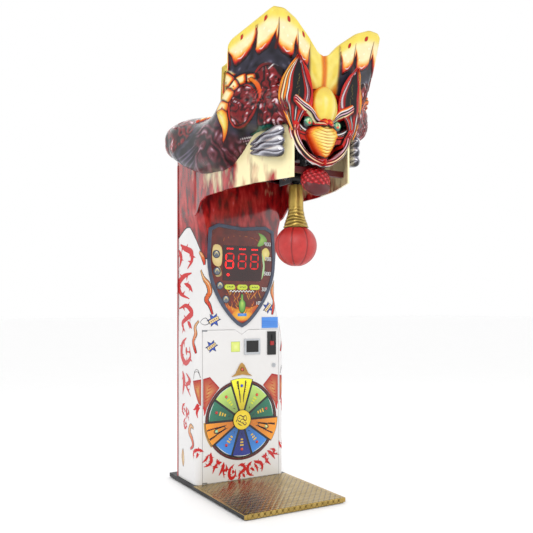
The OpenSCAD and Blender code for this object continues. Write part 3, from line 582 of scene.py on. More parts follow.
def tread_relief():
    """Quilted diamond bosses on the standing plate and down its front lip."""
    half, pitch, cell, tall = 276.0, 33.0, 3.0, 1.5
    length, lip, rear, level = 574.0, 20.0, 113.0, 28.35
    across = np.linspace(-half, half, int(2 * half / cell) + 1)
    along = np.concatenate([np.arange(0, length, cell), length + np.linspace(0, lip + 4, 9)])
    u, s = np.meshgrid(across, along)
    top = s <= length
    a, b = (u + s * 0.82) * math.pi / pitch, (u - s * 0.82) * math.pi / pitch
    boss = np.abs(np.sin(a) * np.sin(b)) ** 0.55
    lift = tall * boss * ease(0, 6, half - np.abs(u))
    y = np.where(top, rear - s, rear - length - 1.2 - lift)
    z = np.where(top, level + lift, level - (s - length))
    paint = Paint(u, s, BRASS)
    paint.mix((1 - ease(0.18, 0.5, boss.ravel())) * 0.75, (0.24, 0.18, 0.08))
    paint.mix(0.5 * noise(paint.u / 40, paint.v / 40, 5), (0.66, 0.55, 0.30))
    new_mesh("tread_bosses", stack(u, y, z), grid_faces(*u.shape, flip=True), paint.col, material="tread",
        slot="tread_brass")


tread_relief()


# ---------------------------------------------------------- ball and sleeve

PIVOT_Y = -450.0
BALL_Z = 1291.0
BALL_R = 102.0


def punch_ball():
    """Leather ball of eight gores with sunken seams and a flat sewn cap below."""
    gores, seam_deep, seam_wide = 8, 1.6, 3.2
    lat = np.linspace(math.radians(-89.5), math.radians(56.4), 110)
    lon = circle(192)
    a, b = np.meshgrid(lon, lat)
    from_seam = np.abs((a * gores / TURN + 0.5) % 1 - 0.5) * TURN / gores * BALL_R * np.cos(b)
    groove = np.exp(-(from_seam / seam_wide) ** 2) * ease(0.06, 0.3, np.cos(b))
    crown = 1.4 * np.cos(b) * np.abs(np.sin(a * gores / 2)) ** 0.7
    cap = ease(0.26, 0.20, np.cos(b)) * (b < 0)
    r = BALL_R - 1.6 + crown - seam_deep * groove + cap
    x, y, z = r * np.cos(b) * np.cos(a), r * np.cos(b) * np.sin(a), r * np.sin(b)
    z = np.maximum(z, -BALL_R + 3.2 + 0.02 * np.hypot(x, y))
    paint = Paint(a * 100, b * 100, (0.80, 0.20, 0.19))
    paint.mix(0.8 * groove.ravel(), (0.42, 0.06, 0.07))
    paint.mix(0.35 * noise(a.ravel() * 6, b.ravel() * 9, 3), (0.72, 0.13, 0.13))
    n = len(lon)
    faces = list(grid_faces(len(lat), n, wrap=True))
    faces.append(list(range(n))[::-1])
    faces.append([(len(lat) - 1) * n + i for i in range(n)])
    obj = new_mesh("punch_ball", stack(x, y + PIVOT_Y, z + BALL_Z), faces, paint.col, material="leather",
        body="ball_arm_group", slot="ball_red")
    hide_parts("ball")


def gold_sleeve():
    """Metallic vinyl wrapped round the foam tube, bunched in folds above the ball."""
    z = np.concatenate([np.linspace(1378, 1470, 70), np.linspace(1472, 1584, 50)])
    turn = circle(128)
    a, zz = np.meshgrid(turn, z)
    base = keyed([(1378, 56), (1386, 57), (1397, 55), (1419, 47.5), (1453, 40.5), (1520, 38), (1584, 35)],
        zz)
    slant = zz + 7 * np.sin(a + 0.6) + 4 * np.sin(2 * a + zz / 30)
    bunch = ease(1500, 1400, zz)
    fold = np.abs(np.sin(slant * math.pi / 17 + 1.5 * noise(a * 1.6, zz / 26, 4))) ** 0.6
    drape = noise(a * 2.4, zz / 18 + 2 * np.sin(a), 8) - 0.5
    hem = ease(1392, 1380, zz) * (3.0 + 2.5 * np.sin(9 * a + 1.0) * ease(1390, 1378, zz))
    r = base - 2.5 + bunch * 3.6 * fold + 2.0 * drape * (0.35 + bunch) + hem
    pts = stack(r * np.cos(a), PIVOT_Y + r * np.sin(a), zz)
    paint = Paint(a * 40, zz, (0.78, 0.66, 0.34))
    # Painted shade: the valleys of the bunched folds are darkened to brown.
    paint.mix(0.75 * (bunch * (1 - fold) ** 1.5).ravel(), (0.36, 0.27, 0.10))
    obj = new_mesh("ball_sleeve_vinyl", pts, grid_faces(len(z), len(turn), wrap=True), paint.col,
        material="vinyl", body="ball_arm_group", slot="sleeve_gold")
    thicken(obj, 9.0)
    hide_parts("ball_sleeve")


punch_ball()
gold_sleeve()


# --------------------------------------------------------------------- head

# Half width, top and bottom of the head along y.
HEAD_W = [(-672, 184), (-620, 252), (-560, 322), (-500, 374), (-440, 387), (-300, 383), (-150, 384),
    (0, 388), (200, 389), (300, 368), (360, 300), (394, 190)]
HEAD_TOP = [(-672, 1986), (-620, 2004), (-560, 2024), (-500, 2046), (-440, 2020), (-396, 2000),
    (-292, 1968), (-162, 1956), (-66, 1974), (60, 2008), (170, 2021), (277, 2009), (347, 1962), (394, 1895)]
HEAD_LOW = [(-672, 1803), (-560, 1806), (-440, 1795), (-380, 1740), (-300, 1682), (-104, 1674), (51, 1694),
    (175, 1742), (277, 1795), (347, 1838), (394, 1868)]
VIEW_COS, VIEW_SIN = 0.8647, 0.5023  # of the camera's turn


def view_u(x, y):
    """Distance across the head as seen from its front quarter; the same on both sides."""
    return -np.abs(x) * VIEW_COS - y * VIEW_SIN


def head_grid(sign, rows=250, cols=190):
    """Points of one half of the head, from the throat edge round to the crown."""
    front, deep, square = -672, 1066, 0.62
    ys = front + deep * np.linspace(0, 1, rows)
    w, top, low = keyed(HEAD_W, ys), keyed(HEAD_TOP, ys), keyed(HEAD_LOW, ys)
    mid, half = (top + low) / 2, (top - low) / 2
    open_x = 186 * ease(-675, -640, ys) * ease(150, 90, ys)
    turn = np.linspace(-math.pi / 2, math.pi / 2, 500)
    out = np.zeros((rows, cols, 3))
    for i in range(rows):
        x = w[i] * np.abs(np.cos(turn)) ** square
        z = mid[i] + half[i] * np.sign(np.sin(turn)) * np.abs(np.sin(turn)) ** square
        keep = ~((x < open_x[i]) & (turn < 0))
        x, z = x[keep], z[keep]
        run = np.concatenate([[0], np.cumsum(np.hypot(np.diff(x), np.diff(z)))])
        at = np.linspace(0, run[-1], cols)
        out[i, :, 0] = sign * np.interp(at, run, x)
        out[i, :, 1] = ys[i]
        out[i, :, 2] = np.interp(at, run, z)
    return out


BRIGHT_SCALE = [(0, BLACK), (2, (0.30, 0.05, 0.04)), (4, RED), (7, ORANGE), (11, (0.97, 0.80, 0.46)),
    (16, CREAM), (30, CREAM)]


def scale_chain(paint, centres, sizes, lift):
    """A row of overlapping horn scales with dark gaps and a red dot on every second one."""
    c = np.array(centres, float)
    run = np.gradient(c, axis=0)
    run /= np.linalg.norm(run, axis=1)[:, None]
    for i, (p, size) in enumerate(zip(c, sizes)):
        t, s = run[i], np.array([-run[i][1], run[i][0]])
        a, b = size
        outline = [p - t * a - s * b * 0.7, p - t * a * 0.8 + s * b, p + t * a * 0.8 + s * b * 0.95,
            p + t * a + s * b * 0.1, p + t * a * 0.75 - s * b * 0.9]
        paint.fill(outline, CREAM, edge=BLACK, rim=3.5, lift=lift, depth=10, stops=BRIGHT_SCALE)
        if i % 2 == 0:
            paint.fill([p + s * b * 0.3 + d for d in ([-3, -3], [3, -3], [3, 4], [-3, 4])], RED, steps=3)


def paint_flank(paint):
    """Slate membrane, horn chains, muscle panels and the tail bulge."""
    cloud = noise(paint.u / 34, paint.v / 22, 2)
    paint.col[:] = ramp(cloud, [(0, BLACK), (0.5, (0.10, 0.09, 0.13)), (0.85, (0.22, 0.21, 0.28)),
        (1, (0.34, 0.33, 0.42))])
    # Tail bulge with winding strands inside a smooth blue-grey rim.
    bulge = [(-520, 1905), (-470, 1990), (-380, 2040), (-300, 2000), (-262, 1925), (-300, 1862),
        (-400, 1820), (-500, 1835)]
    near, far = paint.inside(bulge, 6, 60)
    rim = 1 - ease(-10, 46, far)
    paint.mix(rim * 0.9, ramp(noise(paint.u[near] / 26, paint.v[near] / 9, 7),
        [(0, (0.09, 0.06, 0.09)), (0.6, (0.22, 0.20, 0.28)), (1, (0.50, 0.48, 0.58))]), near)
    inside = 1 - ease(-8, 4, far)
    paint.sinew(near, inside, 19, 21, 0.6, 0.9)
    for k in range(9):
        base = 1830 - 15 * k
        paint.stroke([(-520 + 6 * k, base - 20), (-430 + 8 * k, base - 44), (-330 + 10 * k, base - 50),
            (-250, base - 28)], [0.8, 2.2, 2.2, 0.8], (0.46, 0.40, 0.50), lift=0.5)
    low = ease(1730, 1680, paint.v) * ease(-200, -320, paint.u)
    paint.mix(low * 0.8, (0.78, 0.68, 0.34))
    # Lower flank: maroon strands that fade into grey.
    belly = [(-250, 1880), (-200, 1905), (-130, 1850), (-60, 1800), (60, 1790), (120, 1740), (60, 1650),
        (-260, 1650)]
    near, far = paint.inside(belly, 5, 40)
    paint.sinew(near, (1 - ease(-30, 20, far)) * 0.85, 22, 31, 0.9, 1.0,
        [(-1, DARK), (-0.3, (0.2, 0.05, 0.08)), (0.3, (0.42, 0.14, 0.18)), (0.8, (0.6, 0.4, 0.46)),
        (1, PINK)])
    # Round muscle panel behind the horn.
    disc = [(-62, 1832), (-80, 1880), (-64, 1945), (-28, 1985), (14, 1975), (36, 1930), (34, 1880),
        (0, 1840)]
    paint.fill(disc, MAROON, edge=BLACK, rim=8, lift=9, depth=26)
    near, far = paint.inside(disc, 6, 8)
    paint.sinew(near, 1 - ease(-3, 1, far), 14, 43, 1.0, 2.6)
    paint.stroke(disc, 3.5, RED, end=(0.55, 0.07, 0.08), edge=BLACK, rim=3, lift=3, closed=True)
    # Tall muscle panel between the horn and the ear.
    tall = [(42, 2036), (96, 2056), (160, 2050), (215, 2010), (230, 1930), (225, 1850), (190, 1800),
        (120, 1812), (52, 1820), (54, 1880), (64, 1930), (60, 1980), (36, 2005)]
    paint.fill(tall, MAROON, edge=BLACK, rim=7, lift=6, depth=18)
    near, far = paint.inside(tall, 6, 8)
    paint.sinew(near, 1 - ease(-3, 1, far), 14, 57, 0.2, 2.6)
    paint.stroke([(20, 2010), (56, 2052), (104, 2062), (128, 2040)], [3, 6, 5, 2], (0.66, 0.10, 0.10),
        end=DARK, edge=BLACK, lift=3)
    paint.stroke([(88, 2040), (116, 2062), (134, 2056)], [1, 2.5, 1], WHITE)
    # Inner horn chain that ends in a spike.
    horn = [(8, 2012), (-30, 2010), (-66, 1986), (-88, 1944), (-112, 1900)]
    scale_chain(paint, horn, [(26, 19), (26, 22), (27, 22), (28, 22), (28, 24)], lift=9)
    paint.stroke([(20, 2004), (44, 1980), (56, 1940), (46, 1905)], [7, 10, 7, 1], ORANGE, end=RED,
        edge=BLACK, lift=6)
    paint.fill([(-134, 1884), (-100, 1890), (-92, 1856), (-100, 1815), (-120, 1770), (-116, 1815),
        (-128, 1850)], YELLOW, edge=BLACK, rim=4, lift=9, depth=10,
        stops=[(0, RED), (4, ORANGE), (10, YELLOW), (20, CREAM)])
    # Shoulder chain along the top of the flank.
    chain = [(-80, 2062), (-100, 2022), (-130, 1990), (-168, 1968), (-204, 1950), (-238, 1938),
        (-262, 1932)]
    scale_chain(paint, chain, [(26, 36), (26, 34), (27, 31), (26, 27), (23, 22), (18, 17), (12, 12)],
        lift=9)
    # Teal line and pale highlights above the pipes.
    paint.stroke([(8, 1806), (50, 1818), (96, 1822), (140, 1812)], [1, 4, 5, 1], TEAL, edge=BLACK)
    for k in range(5):
        paint.stroke([(-40 + 12 * k, 1786 - 8 * k), (30 + 16 * k, 1800 - 6 * k),
            (100 + 8 * k, 1796 - 9 * k)], [1, 3, 1], PINK if k % 2 else WHITE, lift=1)


def head_shells():
    """Both halves of the painted head, in place of the plain shells."""
    for side, sign in SIDES:
        p = head_grid(sign)
        paint = Paint(view_u(p[..., 0], p[..., 1]), p[..., 2], SLATE)
        paint_flank(paint)
        paint.h += 2.0 * noise(paint.u / 60, paint.v / 40, 12)
        # No relief at the throat edge.
        edge = np.minimum(np.arange(p.shape[1]), 12) / 12
        paint.h *= np.broadcast_to(edge, p.shape[:2]).ravel()
        obj = sheet_grid("head_skin_" + side, p, paint, 8.0, flip=sign < 0)
        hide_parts("head_shell_" + side)


# -------------------------------------------------------------------- crest

CREST_Z = 2280.0
# Rim (TOP, z from CREST_Z) and root (LOW) of a crest lobe, from its outer to its inner end.
TOP_X = [(0, -392), (0.16, -392), (0.40, -294), (0.52, -234), (0.66, -168), (0.84, -88), (0.95, -31),
    (1, -0.4)]
TOP_Y = [(0, -480), (0.16, -506), (0.40, -722), (0.52, -728), (0.66, -713), (0.84, -694), (0.95, -688),
    (1, -686)]
TOP_Z = [(0, -215), (0.16, -95), (0.40, -2), (0.52, 0), (0.66, -22), (0.84, -80), (0.95, -140), (1, -148)]
LOW_X = [(0, -382), (0.16, -366), (0.40, -277), (0.66, -160), (1, -0.4)]
LOW_Y = [(0, -440), (0.16, -508), (0.40, -598), (0.66, -664), (1, -684)]
LOW_Z = [(0, 1925), (0.16, 1940), (0.40, 1945), (0.66, 1955), (1, 1990)]


def crest_lobe(side, sign):
    """Fan of overlapping horn scales on a membrane, with a thick rolled rim."""
    cols, front, rim, back = 210, 120, 12, 26
    t = np.linspace(0, 1, cols)
    top = stack(linear(TOP_X, t), linear(TOP_Y, t), linear(TOP_Z, t) + CREST_Z)
    low = stack(linear(LOW_X, t), linear(LOW_Y, t), linear(LOW_Z, t))
    kernel = np.ones(11) / 11
    for curve in (top, low):
        for k in range(3):
            padded = np.pad(curve[:, k], 5, mode="reflect", reflect_type="odd")
            curve[:, k] = np.convolve(padded, kernel, "valid")
    rise = top - low
    tall = np.linalg.norm(rise, axis=1)
    up = rise / tall[:, None]
    run = np.gradient(top, axis=0)
    along = np.concatenate([[0], np.cumsum(np.linalg.norm(np.diff(top, axis=0), axis=1))])
    out = np.cross(run, up)
    out /= np.linalg.norm(out, axis=1)[:, None]
    away = top * (1, 1, 0) + (0, 350, 0)
    out *= np.sign((out * away).sum(1, keepdims=True))
    deep, drawn_length = 33.0, 724.0
    s = np.linspace(0, 1, front)
    body = low[None] + rise[None] * s[:, None, None]
    body = body + out[None] * (7 * np.sin(math.pi * s))[:, None, None]
    a = np.linspace(0, math.pi, rim + 2)[1:-1, None, None]
    roll = top[None] - out[None] * deep / 2 * (1 - np.cos(a)) + up[None] * 7 * np.sin(a)
    r = np.linspace(1, 0, back)[:, None, None]
    rear = low[None] + rise[None] * r - out[None] * deep
    p = np.concatenate([body, roll, rear])
    grid_along = np.tile(along, (len(p), 1))
    drop = np.concatenate([(1 - s)[:, None] * tall, np.zeros((rim, cols)),
        np.linspace(0, 1, back)[:, None] * tall])
    paint = Paint(grid_along, drop, SLATE)
    cloud = noise(paint.u / 30, paint.v / 22, 5)
    paint.col[:] = ramp(cloud, [(0, (0.08, 0.07, 0.1)), (0.45, (0.17, 0.16, 0.21)), (0.8, SLATE),
        (1, (0.42, 0.40, 0.47))])
    # Each scale: middle along the rim, half width, depth, for a rim of drawn_length.
    scales = [(52, 66, 104), (206, 98, 132), (350, 60, 168), (456, 60, 176), (556, 54, 150)]
    length = along[-1]
    stretch = length / drawn_length
    best = np.full(paint.u.size, -1e9)  # how far inside its scale each point lies
    for i, (middle, wide, depth) in enumerate(scales):
        x = (paint.u - middle * stretch) / (wide * stretch)
        x = x + 0.10 * np.sin(paint.v / 22 + i)
        lobe = depth * (1 - 0.9 * np.abs(x) ** 4.5)
        inward = np.minimum((lobe - paint.v), (1 - np.abs(x)) * wide * 1.25 + 60 * ease(0.75 * depth,
            0.3 * depth, paint.v))
        best = np.maximum(best, inward)
    shade = ramp(best + 5 * (noise(paint.u / 9, paint.v / 9, 3) - 0.5),
        [(-4, BLACK), (0, BLACK), (5, (0.34, 0.04, 0.04)), (13, RED), (24, ORANGE),
        (36, (0.97, 0.78, 0.46)), (50, CREAM), (80, CREAM)])
    gold = ramp(paint.v, [(0, (0.93, 0.84, 0.36)), (26, YELLOW), (60, CREAM)])
    keep = ease(10, 26, best)[:, None] * (1 - ease(30, 70, paint.v))[:, None]
    shade = shade * (1 - keep) + gold * keep
    weight = ease(-5, -1, best)
    paint.mix(weight, shade)
    paint.h += 8 * ease(-2, 12, best)
    for i, (middle, wide, depth) in enumerate(scales):
        m = middle * stretch
        for k in range(3):
            spot = (m + (k - 1) * wide * 0.4, depth * (0.42 + 0.13 * ((k * 7 + i) % 3)))
            paint.fill([(spot[0] - 4, spot[1]), (spot[0], spot[1] + 5), (spot[0] + 5, spot[1]),
                (spot[0], spot[1] - 4)], (1.0, 0.98, 0.86), steps=4, soft=2.5)
        paint.fill([(m - 7, 23), (m + 5, 22), (m + 7, 36), (m - 5, 38)], (0.78, 0.12, 0.10),
            edge=(0.35, 0.04, 0.04), rim=1.5, steps=3)
        crack = m + wide * stretch
        paint.stroke([(crack, depth * 0.95), (crack + 3, depth * 0.6), (crack - 2, depth * 0.22)],
            [6, 3.4, 0.8], (0.34, 0.05, 0.04), soft=2.0)
        paint.stroke([(m - wide * 0.3, depth - 24), (m, depth - 15), (m + wide * 0.3, depth - 24)],
            [1, 2.4, 1], WHITE, soft=1.2)
    # Inner end, where both lobes meet: plain olive with an orange foot and seam.
    inner = ease(length - 130, length - 95, paint.u)
    olive = ramp(noise(paint.u / 40, paint.v / 30, 9), [(0, (0.90, 0.78, 0.24)), (1, (0.97, 0.90, 0.50))])
    paint.mix(inner * ease(235, 215, paint.v), olive)
    paint.mix(inner * ease(150, 225, paint.v) * ease(250, 235, paint.v), (0.86, 0.34, 0.06))
    crease = ease(length - 26, length - 4, paint.u)
    paint.mix(crease * 0.9, (0.86, 0.42, 0.06))
    # Rolled rim and back in gold, mostly a little darker than the front face as painted shade, without
    # relief.
    row = np.repeat(np.arange(len(p)), cols)
    behind = row >= front
    shaded_rim_gold = ramp(noise(paint.u / 60, row / 9, 6), [(0, (0.80, 0.68, 0.22)), (1, (0.93, 0.84, 0.40))])
    paint.mix(behind * 0.95, shaded_rim_gold)
    paint.mix(behind * crease * 0.7, (0.80, 0.30, 0.06))
    paint.h *= ~behind * np.minimum(1, ease(0, 10, paint.v) + 0.15)
    p[..., 0] *= -sign
    # The foot of the lobe carries on the paint of the flank.
    foot = Paint(view_u(p[..., 0], p[..., 1]), p[..., 2], SLATE)
    paint_flank(foot)
    edge = 2046 + 20 * np.sin(foot.u / 50) + 30 * ease(-40, -90, foot.u)
    blend = ease(6, -6, foot.v - edge) * ~behind * ease(165, 150, foot.u)
    paint.col = paint.col * (1 - blend[:, None]) + foot.col * blend[:, None]
    paint.h = paint.h * (1 - blend) + foot.h * blend
    normal = np.concatenate([np.tile(out[None], (front, 1, 1)), np.zeros((rim + back, cols, 3))])
    normal[..., 0] *= -sign
    p = p + normal * paint.h.reshape(p.shape[0], cols, 1)
    rows = len(p)
    faces = list(grid_faces(rows, cols, flip=sign > 0))
    last = (rows - 1) * cols
    for j in range(cols - 1):
        quad = [j, last + j, last + j + 1, j + 1]
        faces.append(quad if sign < 0 else quad[::-1])
    for j in (0, cols - 1):
        ring = [i * cols + j for i in range(rows)]
        faces.append(ring if (j == 0) == (sign > 0) else ring[::-1])
    obj = new_mesh("crest_fan_" + side, p, faces, paint.col, slot="crest_yellow")
    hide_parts("crest_" + side)


head_shells()
crest_lobe("left", -1)
crest_lobe("right", 1)


# --------------------------------------------------------------------- face

# Half width of the mask by height, then outlines in one half of the face.
FACE_W = [(1632, 26), (1650, 66), (1690, 124), (1745, 162), (1800, 178), (1850, 185), (1894, 186),
    (1940, 172), (1970, 134), (1987, 56)]
BROW = [(18, 1830), (42, 1842), (78, 1874), (120, 1894), (162, 1922)]
LIP = [(154, 1800), (142, 1750), (110, 1704), (62, 1668), (6, 1650)]
SOCKET = [(26, 1812), (44, 1842), (74, 1862), (110, 1866), (150, 1842), (112, 1812), (72, 1798)]
MOUTH = [(84, 1744), (112, 1746), (112, 1722), (86, 1692), (52, 1674), (20, 1662), (46, 1694), (66, 1722)]


def face_front():
    """The mask: brow, eye sockets, beak, mouth corners and lips on one embossed grid."""
    rows, cols = 300, 320
    a, z = np.meshgrid(np.linspace(-1, 1, cols), np.linspace(1632, 1987, rows))
    x = a * linear(FACE_W, z)
    paint = Paint(np.abs(x), z, RED)
    u, v = paint.u, paint.v
    y = -672 + 15 * ease(0.86, 1.0, np.abs(a)).ravel() + 12 * ease(1806, 1780, v)
    tone = noise(u / 16 + v / 40, v / 26, 3)
    paint.col[:] = ramp(tone, [(0, (0.40, 0.04, 0.05)), (0.5, (0.72, 0.09, 0.07)), (1, (0.86, 0.26, 0.08))])
    side = ease(120, 165, u) * ease(1790, 1840, v)
    paint.mix(side * 0.9, MAROON)
    for k in range(4):
        paint.stroke([(178 - 9 * k, 1880), (160 - 8 * k, 1830), (128 - 8 * k, 1790),
            (80 - 7 * k, 1772 + 4 * k)], [1, 3.2, 3.4, 1], (WHITE, ORANGE, PINK, ORANGE)[k], edge=DARK,
            rim=2, lift=2.4)
    paint.stroke([(168, 1900), (120, 1884), (80, 1872)], [2, 5, 2], ORANGE, edge=BLACK, lift=3)
    # Eye socket.
    near, far = paint.fill(SOCKET, BLACK, edge=(0.30, 0.03, 0.04), rim=5)
    paint.h[near] -= 20 * ease(2, -12, far)
    paint.stroke([(34, 1806), (72, 1790), (118, 1802), (156, 1836)], [1, 3.4, 3, 1], WHITE, edge=BLACK,
        rim=3, lift=3)
    paint.stroke([(40, 1792), (80, 1777), (128, 1786), (166, 1822)], [1, 4, 4, 1], RED, edge=BLACK, rim=3,
        lift=4)
    # Nose and beak in yellow and orange, with wrinkles.
    beak = [(-60, 1856), (14, 1852), (26, 1824), (66, 1806), (86, 1780), (70, 1738), (44, 1698), (6, 1662),
        (-60, 1660)]
    paint.fill(beak, YELLOW, edge=(0.45, 0.07, 0.04), rim=4,
        stops=[(0, (0.62, 0.07, 0.04)), (6, (0.85, 0.26, 0.05)), (13, ORANGE), (22, (0.97, 0.78, 0.28)),
        (36, (0.98, 0.90, 0.52))])
    for k in range(9):
        level = 1806 - 14 * k
        reach = 62 - abs(k - 3) * 6
        paint.stroke([(0, level - 7), (reach * 0.5, level - 3), (reach, level + 5)], [1.6, 1.2, 0.4],
            (0.72, 0.30, 0.06), soft=1.4)
        paint.stroke([(2, level - 12), (reach * 0.5, level - 8)], [1.4, 0.5], (1.0, 0.94, 0.66), soft=1.4)
        near, far, _ = paint.distance(spline([(0, level - 7), (reach, level + 5)]), 9)
        paint.h[near] -= 1.6 * np.exp(-(far / 3.0) ** 2)
    width = linear([(1658, 6), (1690, 38), (1730, 62), (1776, 86), (1804, 76), (1830, 32), (1850, 22),
        (1880, 4)], v)
    tall = linear([(1658, 24), (1690, 46), (1735, 56), (1790, 44), (1830, 26), (1880, 0)], v)
    paint.h += tall * np.sqrt(np.clip(1 - (u / width) ** 2, 0, 1))
    # Open mouth beside the beak, closed by a recess painted near-black as painted shade for the dark inside
    # of the opening.
    near, far = paint.fill(MOUTH, (0.02, 0.015, 0.02), edge=(0.3, 0.03, 0.04), rim=3)
    paint.h[near] -= 62 * ease(1, -9, far) * ease(0.9, 1.3, u[near] / width[near])
    # Brow ridge with strands, rounded over the bridge of the nose.
    paint.stroke(BROW, [22, 28, 29, 26, 18], RED, end=(0.70, 0.07, 0.07), edge=BLACK, rim=5, lift=30)
    for k, tint in enumerate((ORANGE, WHITE, BLACK, PINK, BLACK, CREAM)):
        shift = 20 - 7.6 * k
        paint.stroke([(p[0] + 3 + 0.3 * shift, p[1] + shift) for p in BROW], [0.8, 2.6, 3.4, 3.0, 1.0],
            tint, soft=1.1)
    paint.stroke([(12, 1824), (30, 1830)], [6, 4], ORANGE, end=RED, soft=2)
    # Lips: bundles of red, white and black strands.
    paint.stroke(LIP, [20, 26, 27, 23, 15], RED, end=(0.76, 0.10, 0.08), edge=BLACK, rim=5, lift=22)
    for k, tint in enumerate((WHITE, BLACK, CREAM, BLACK, PINK, BLACK)):
        shift = 17 - 6.4 * k
        line = [(LIP[0][0] + shift, LIP[0][1]), (LIP[1][0] + shift, LIP[1][1]),
            (LIP[2][0] + shift * 0.7, LIP[2][1] - shift * 0.7),
            (LIP[3][0] + shift * 0.3, LIP[3][1] - shift), (LIP[4][0], LIP[4][1] - shift)]
        paint.stroke(line, [0.9, 2.6, 2.8, 2.2, 0.9], tint, soft=1.1)
    paint.h += 1.2 * noise(u / 20, v / 14, 11)
    obj = new_mesh("face_front", stack(x.ravel(), y - paint.h, z.ravel()), grid_faces(rows, cols),
        paint.col, slot="mask_red")
    thicken(obj, 7.0)
    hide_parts("face_mask", "beak")


def forehead():
    """Egg-shaped yellow plate with a facet line and an orange edge."""
    rings, around = 60, 120
    r = np.linspace(0.0, 1, rings)[:, None]
    a = circle(around)[None, :]
    half, tall, mid, bulge = 72, 94, 1907, 52
    x = half * r * np.cos(a) * (1 - 0.08 * np.sin(a))
    z = mid + tall * r * np.sin(a)
    y = -684 - bulge * (1 - r ** 2.2) ** 0.75 + 16 * ease(0.9, 1.0, r)
    paint = Paint(x, z, YELLOW)
    level = noise(x.ravel() / 22, z.ravel() / 60, 4)
    paint.col[:] = ramp(level, [(0, (0.93, 0.80, 0.34)), (0.6, YELLOW), (1, CREAM)])
    facet = [(12, 1999), (34, 1970), (52, 1906), (40, 1850), (24, 1826), (30, 1880), (26, 1940)]
    near, far = paint.inside(facet, 6, 8)
    paint.mix((1 - ease(-3, 1, far)) * 0.6, (0.88, 0.76, 0.24), near)
    paint.stroke([(10, 1994), (27, 1940), (30, 1880), (22, 1830)], [0.6, 1.6, 0.6], CREAM)
    edge = np.hypot(x / half, (z - mid) / tall).ravel()
    paint.mix(ease(0.80, 0.93, edge), ORANGE)
    paint.mix(ease(0.92, 0.97, edge), (0.55, 0.07, 0.05))
    paint.mix(ease(0.97, 0.99, edge), BLACK)
    obj = new_mesh("forehead_egg", stack(x, y, z), grid_faces(rings, around, wrap=True, flip=True),
        paint.col, slot="crest_yellow")
    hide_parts("forehead_plate")


def eyeballs():
    """Pale green eyes with a teal ring, an orange-red spot and a narrow pupil."""
    rows, around, radius = 60, 96, 33.0
    x, y, z = np.moveaxis(radius * ball_grid(rows, around)[2], -1, 0)
    for side, sign in SIDES:
        paint = Paint(x * sign, z, (0.03, 0.03, 0.035))
        out = np.hypot(paint.u - 1, (paint.v - 1) * 1.1)
        paint.mix(1 - ease(22, 25, out), TEAL)
        paint.mix(1 - ease(13, 18, out), (0.60, 0.80, 0.52))
        paint.stroke([(-15, 12), (0, 17), (15, 11)], [1, 2.6, 1], (0.10, 0.35, 0.33))
        paint.stroke([(-2, 10), (0, 0), (1, -9)], [0.8, 2.2, 0.8], (0.05, 0.12, 0.10))
        paint.fill([(-9, -8), (0, -3), (7, -6), (3, -13), (-6, -13)], (0.92, 0.30, 0.12))
        # A painted highlight: a small white glint beside the pupil.
        paint.stroke([(4, 7), (9, 4)], [2, 1.4], WHITE)
        paint.mix((y.ravel() > 0) * 1.0, BLACK)
        obj = new_mesh("eyeball_" + side, stack(x + sign * 79, y - 655, z + 1829),
            grid_faces(rows, around, wrap=True), paint.col, material="eye", slot="eye_green")
        if sign < 0:
            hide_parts("eyes")


# Outer and inner edge of an ear, from root to tip.
EAR_OUT = [(0, (166, -666, 1778)), (0.25, (204, -664, 1850)), (0.5, (226, -660, 1925)),
    (0.7, (222, -672, 1985)), (0.88, (194, -702, 2050)), (1, (163, -728, 2094))]
EAR_IN = [(0, (146, -680, 1782)), (0.25, (118, -694, 1846)), (0.5, (76, -704, 1904)),
    (0.7, (84, -714, 1978)), (0.88, (120, -724, 2046)), (1, (158, -730, 2093))]


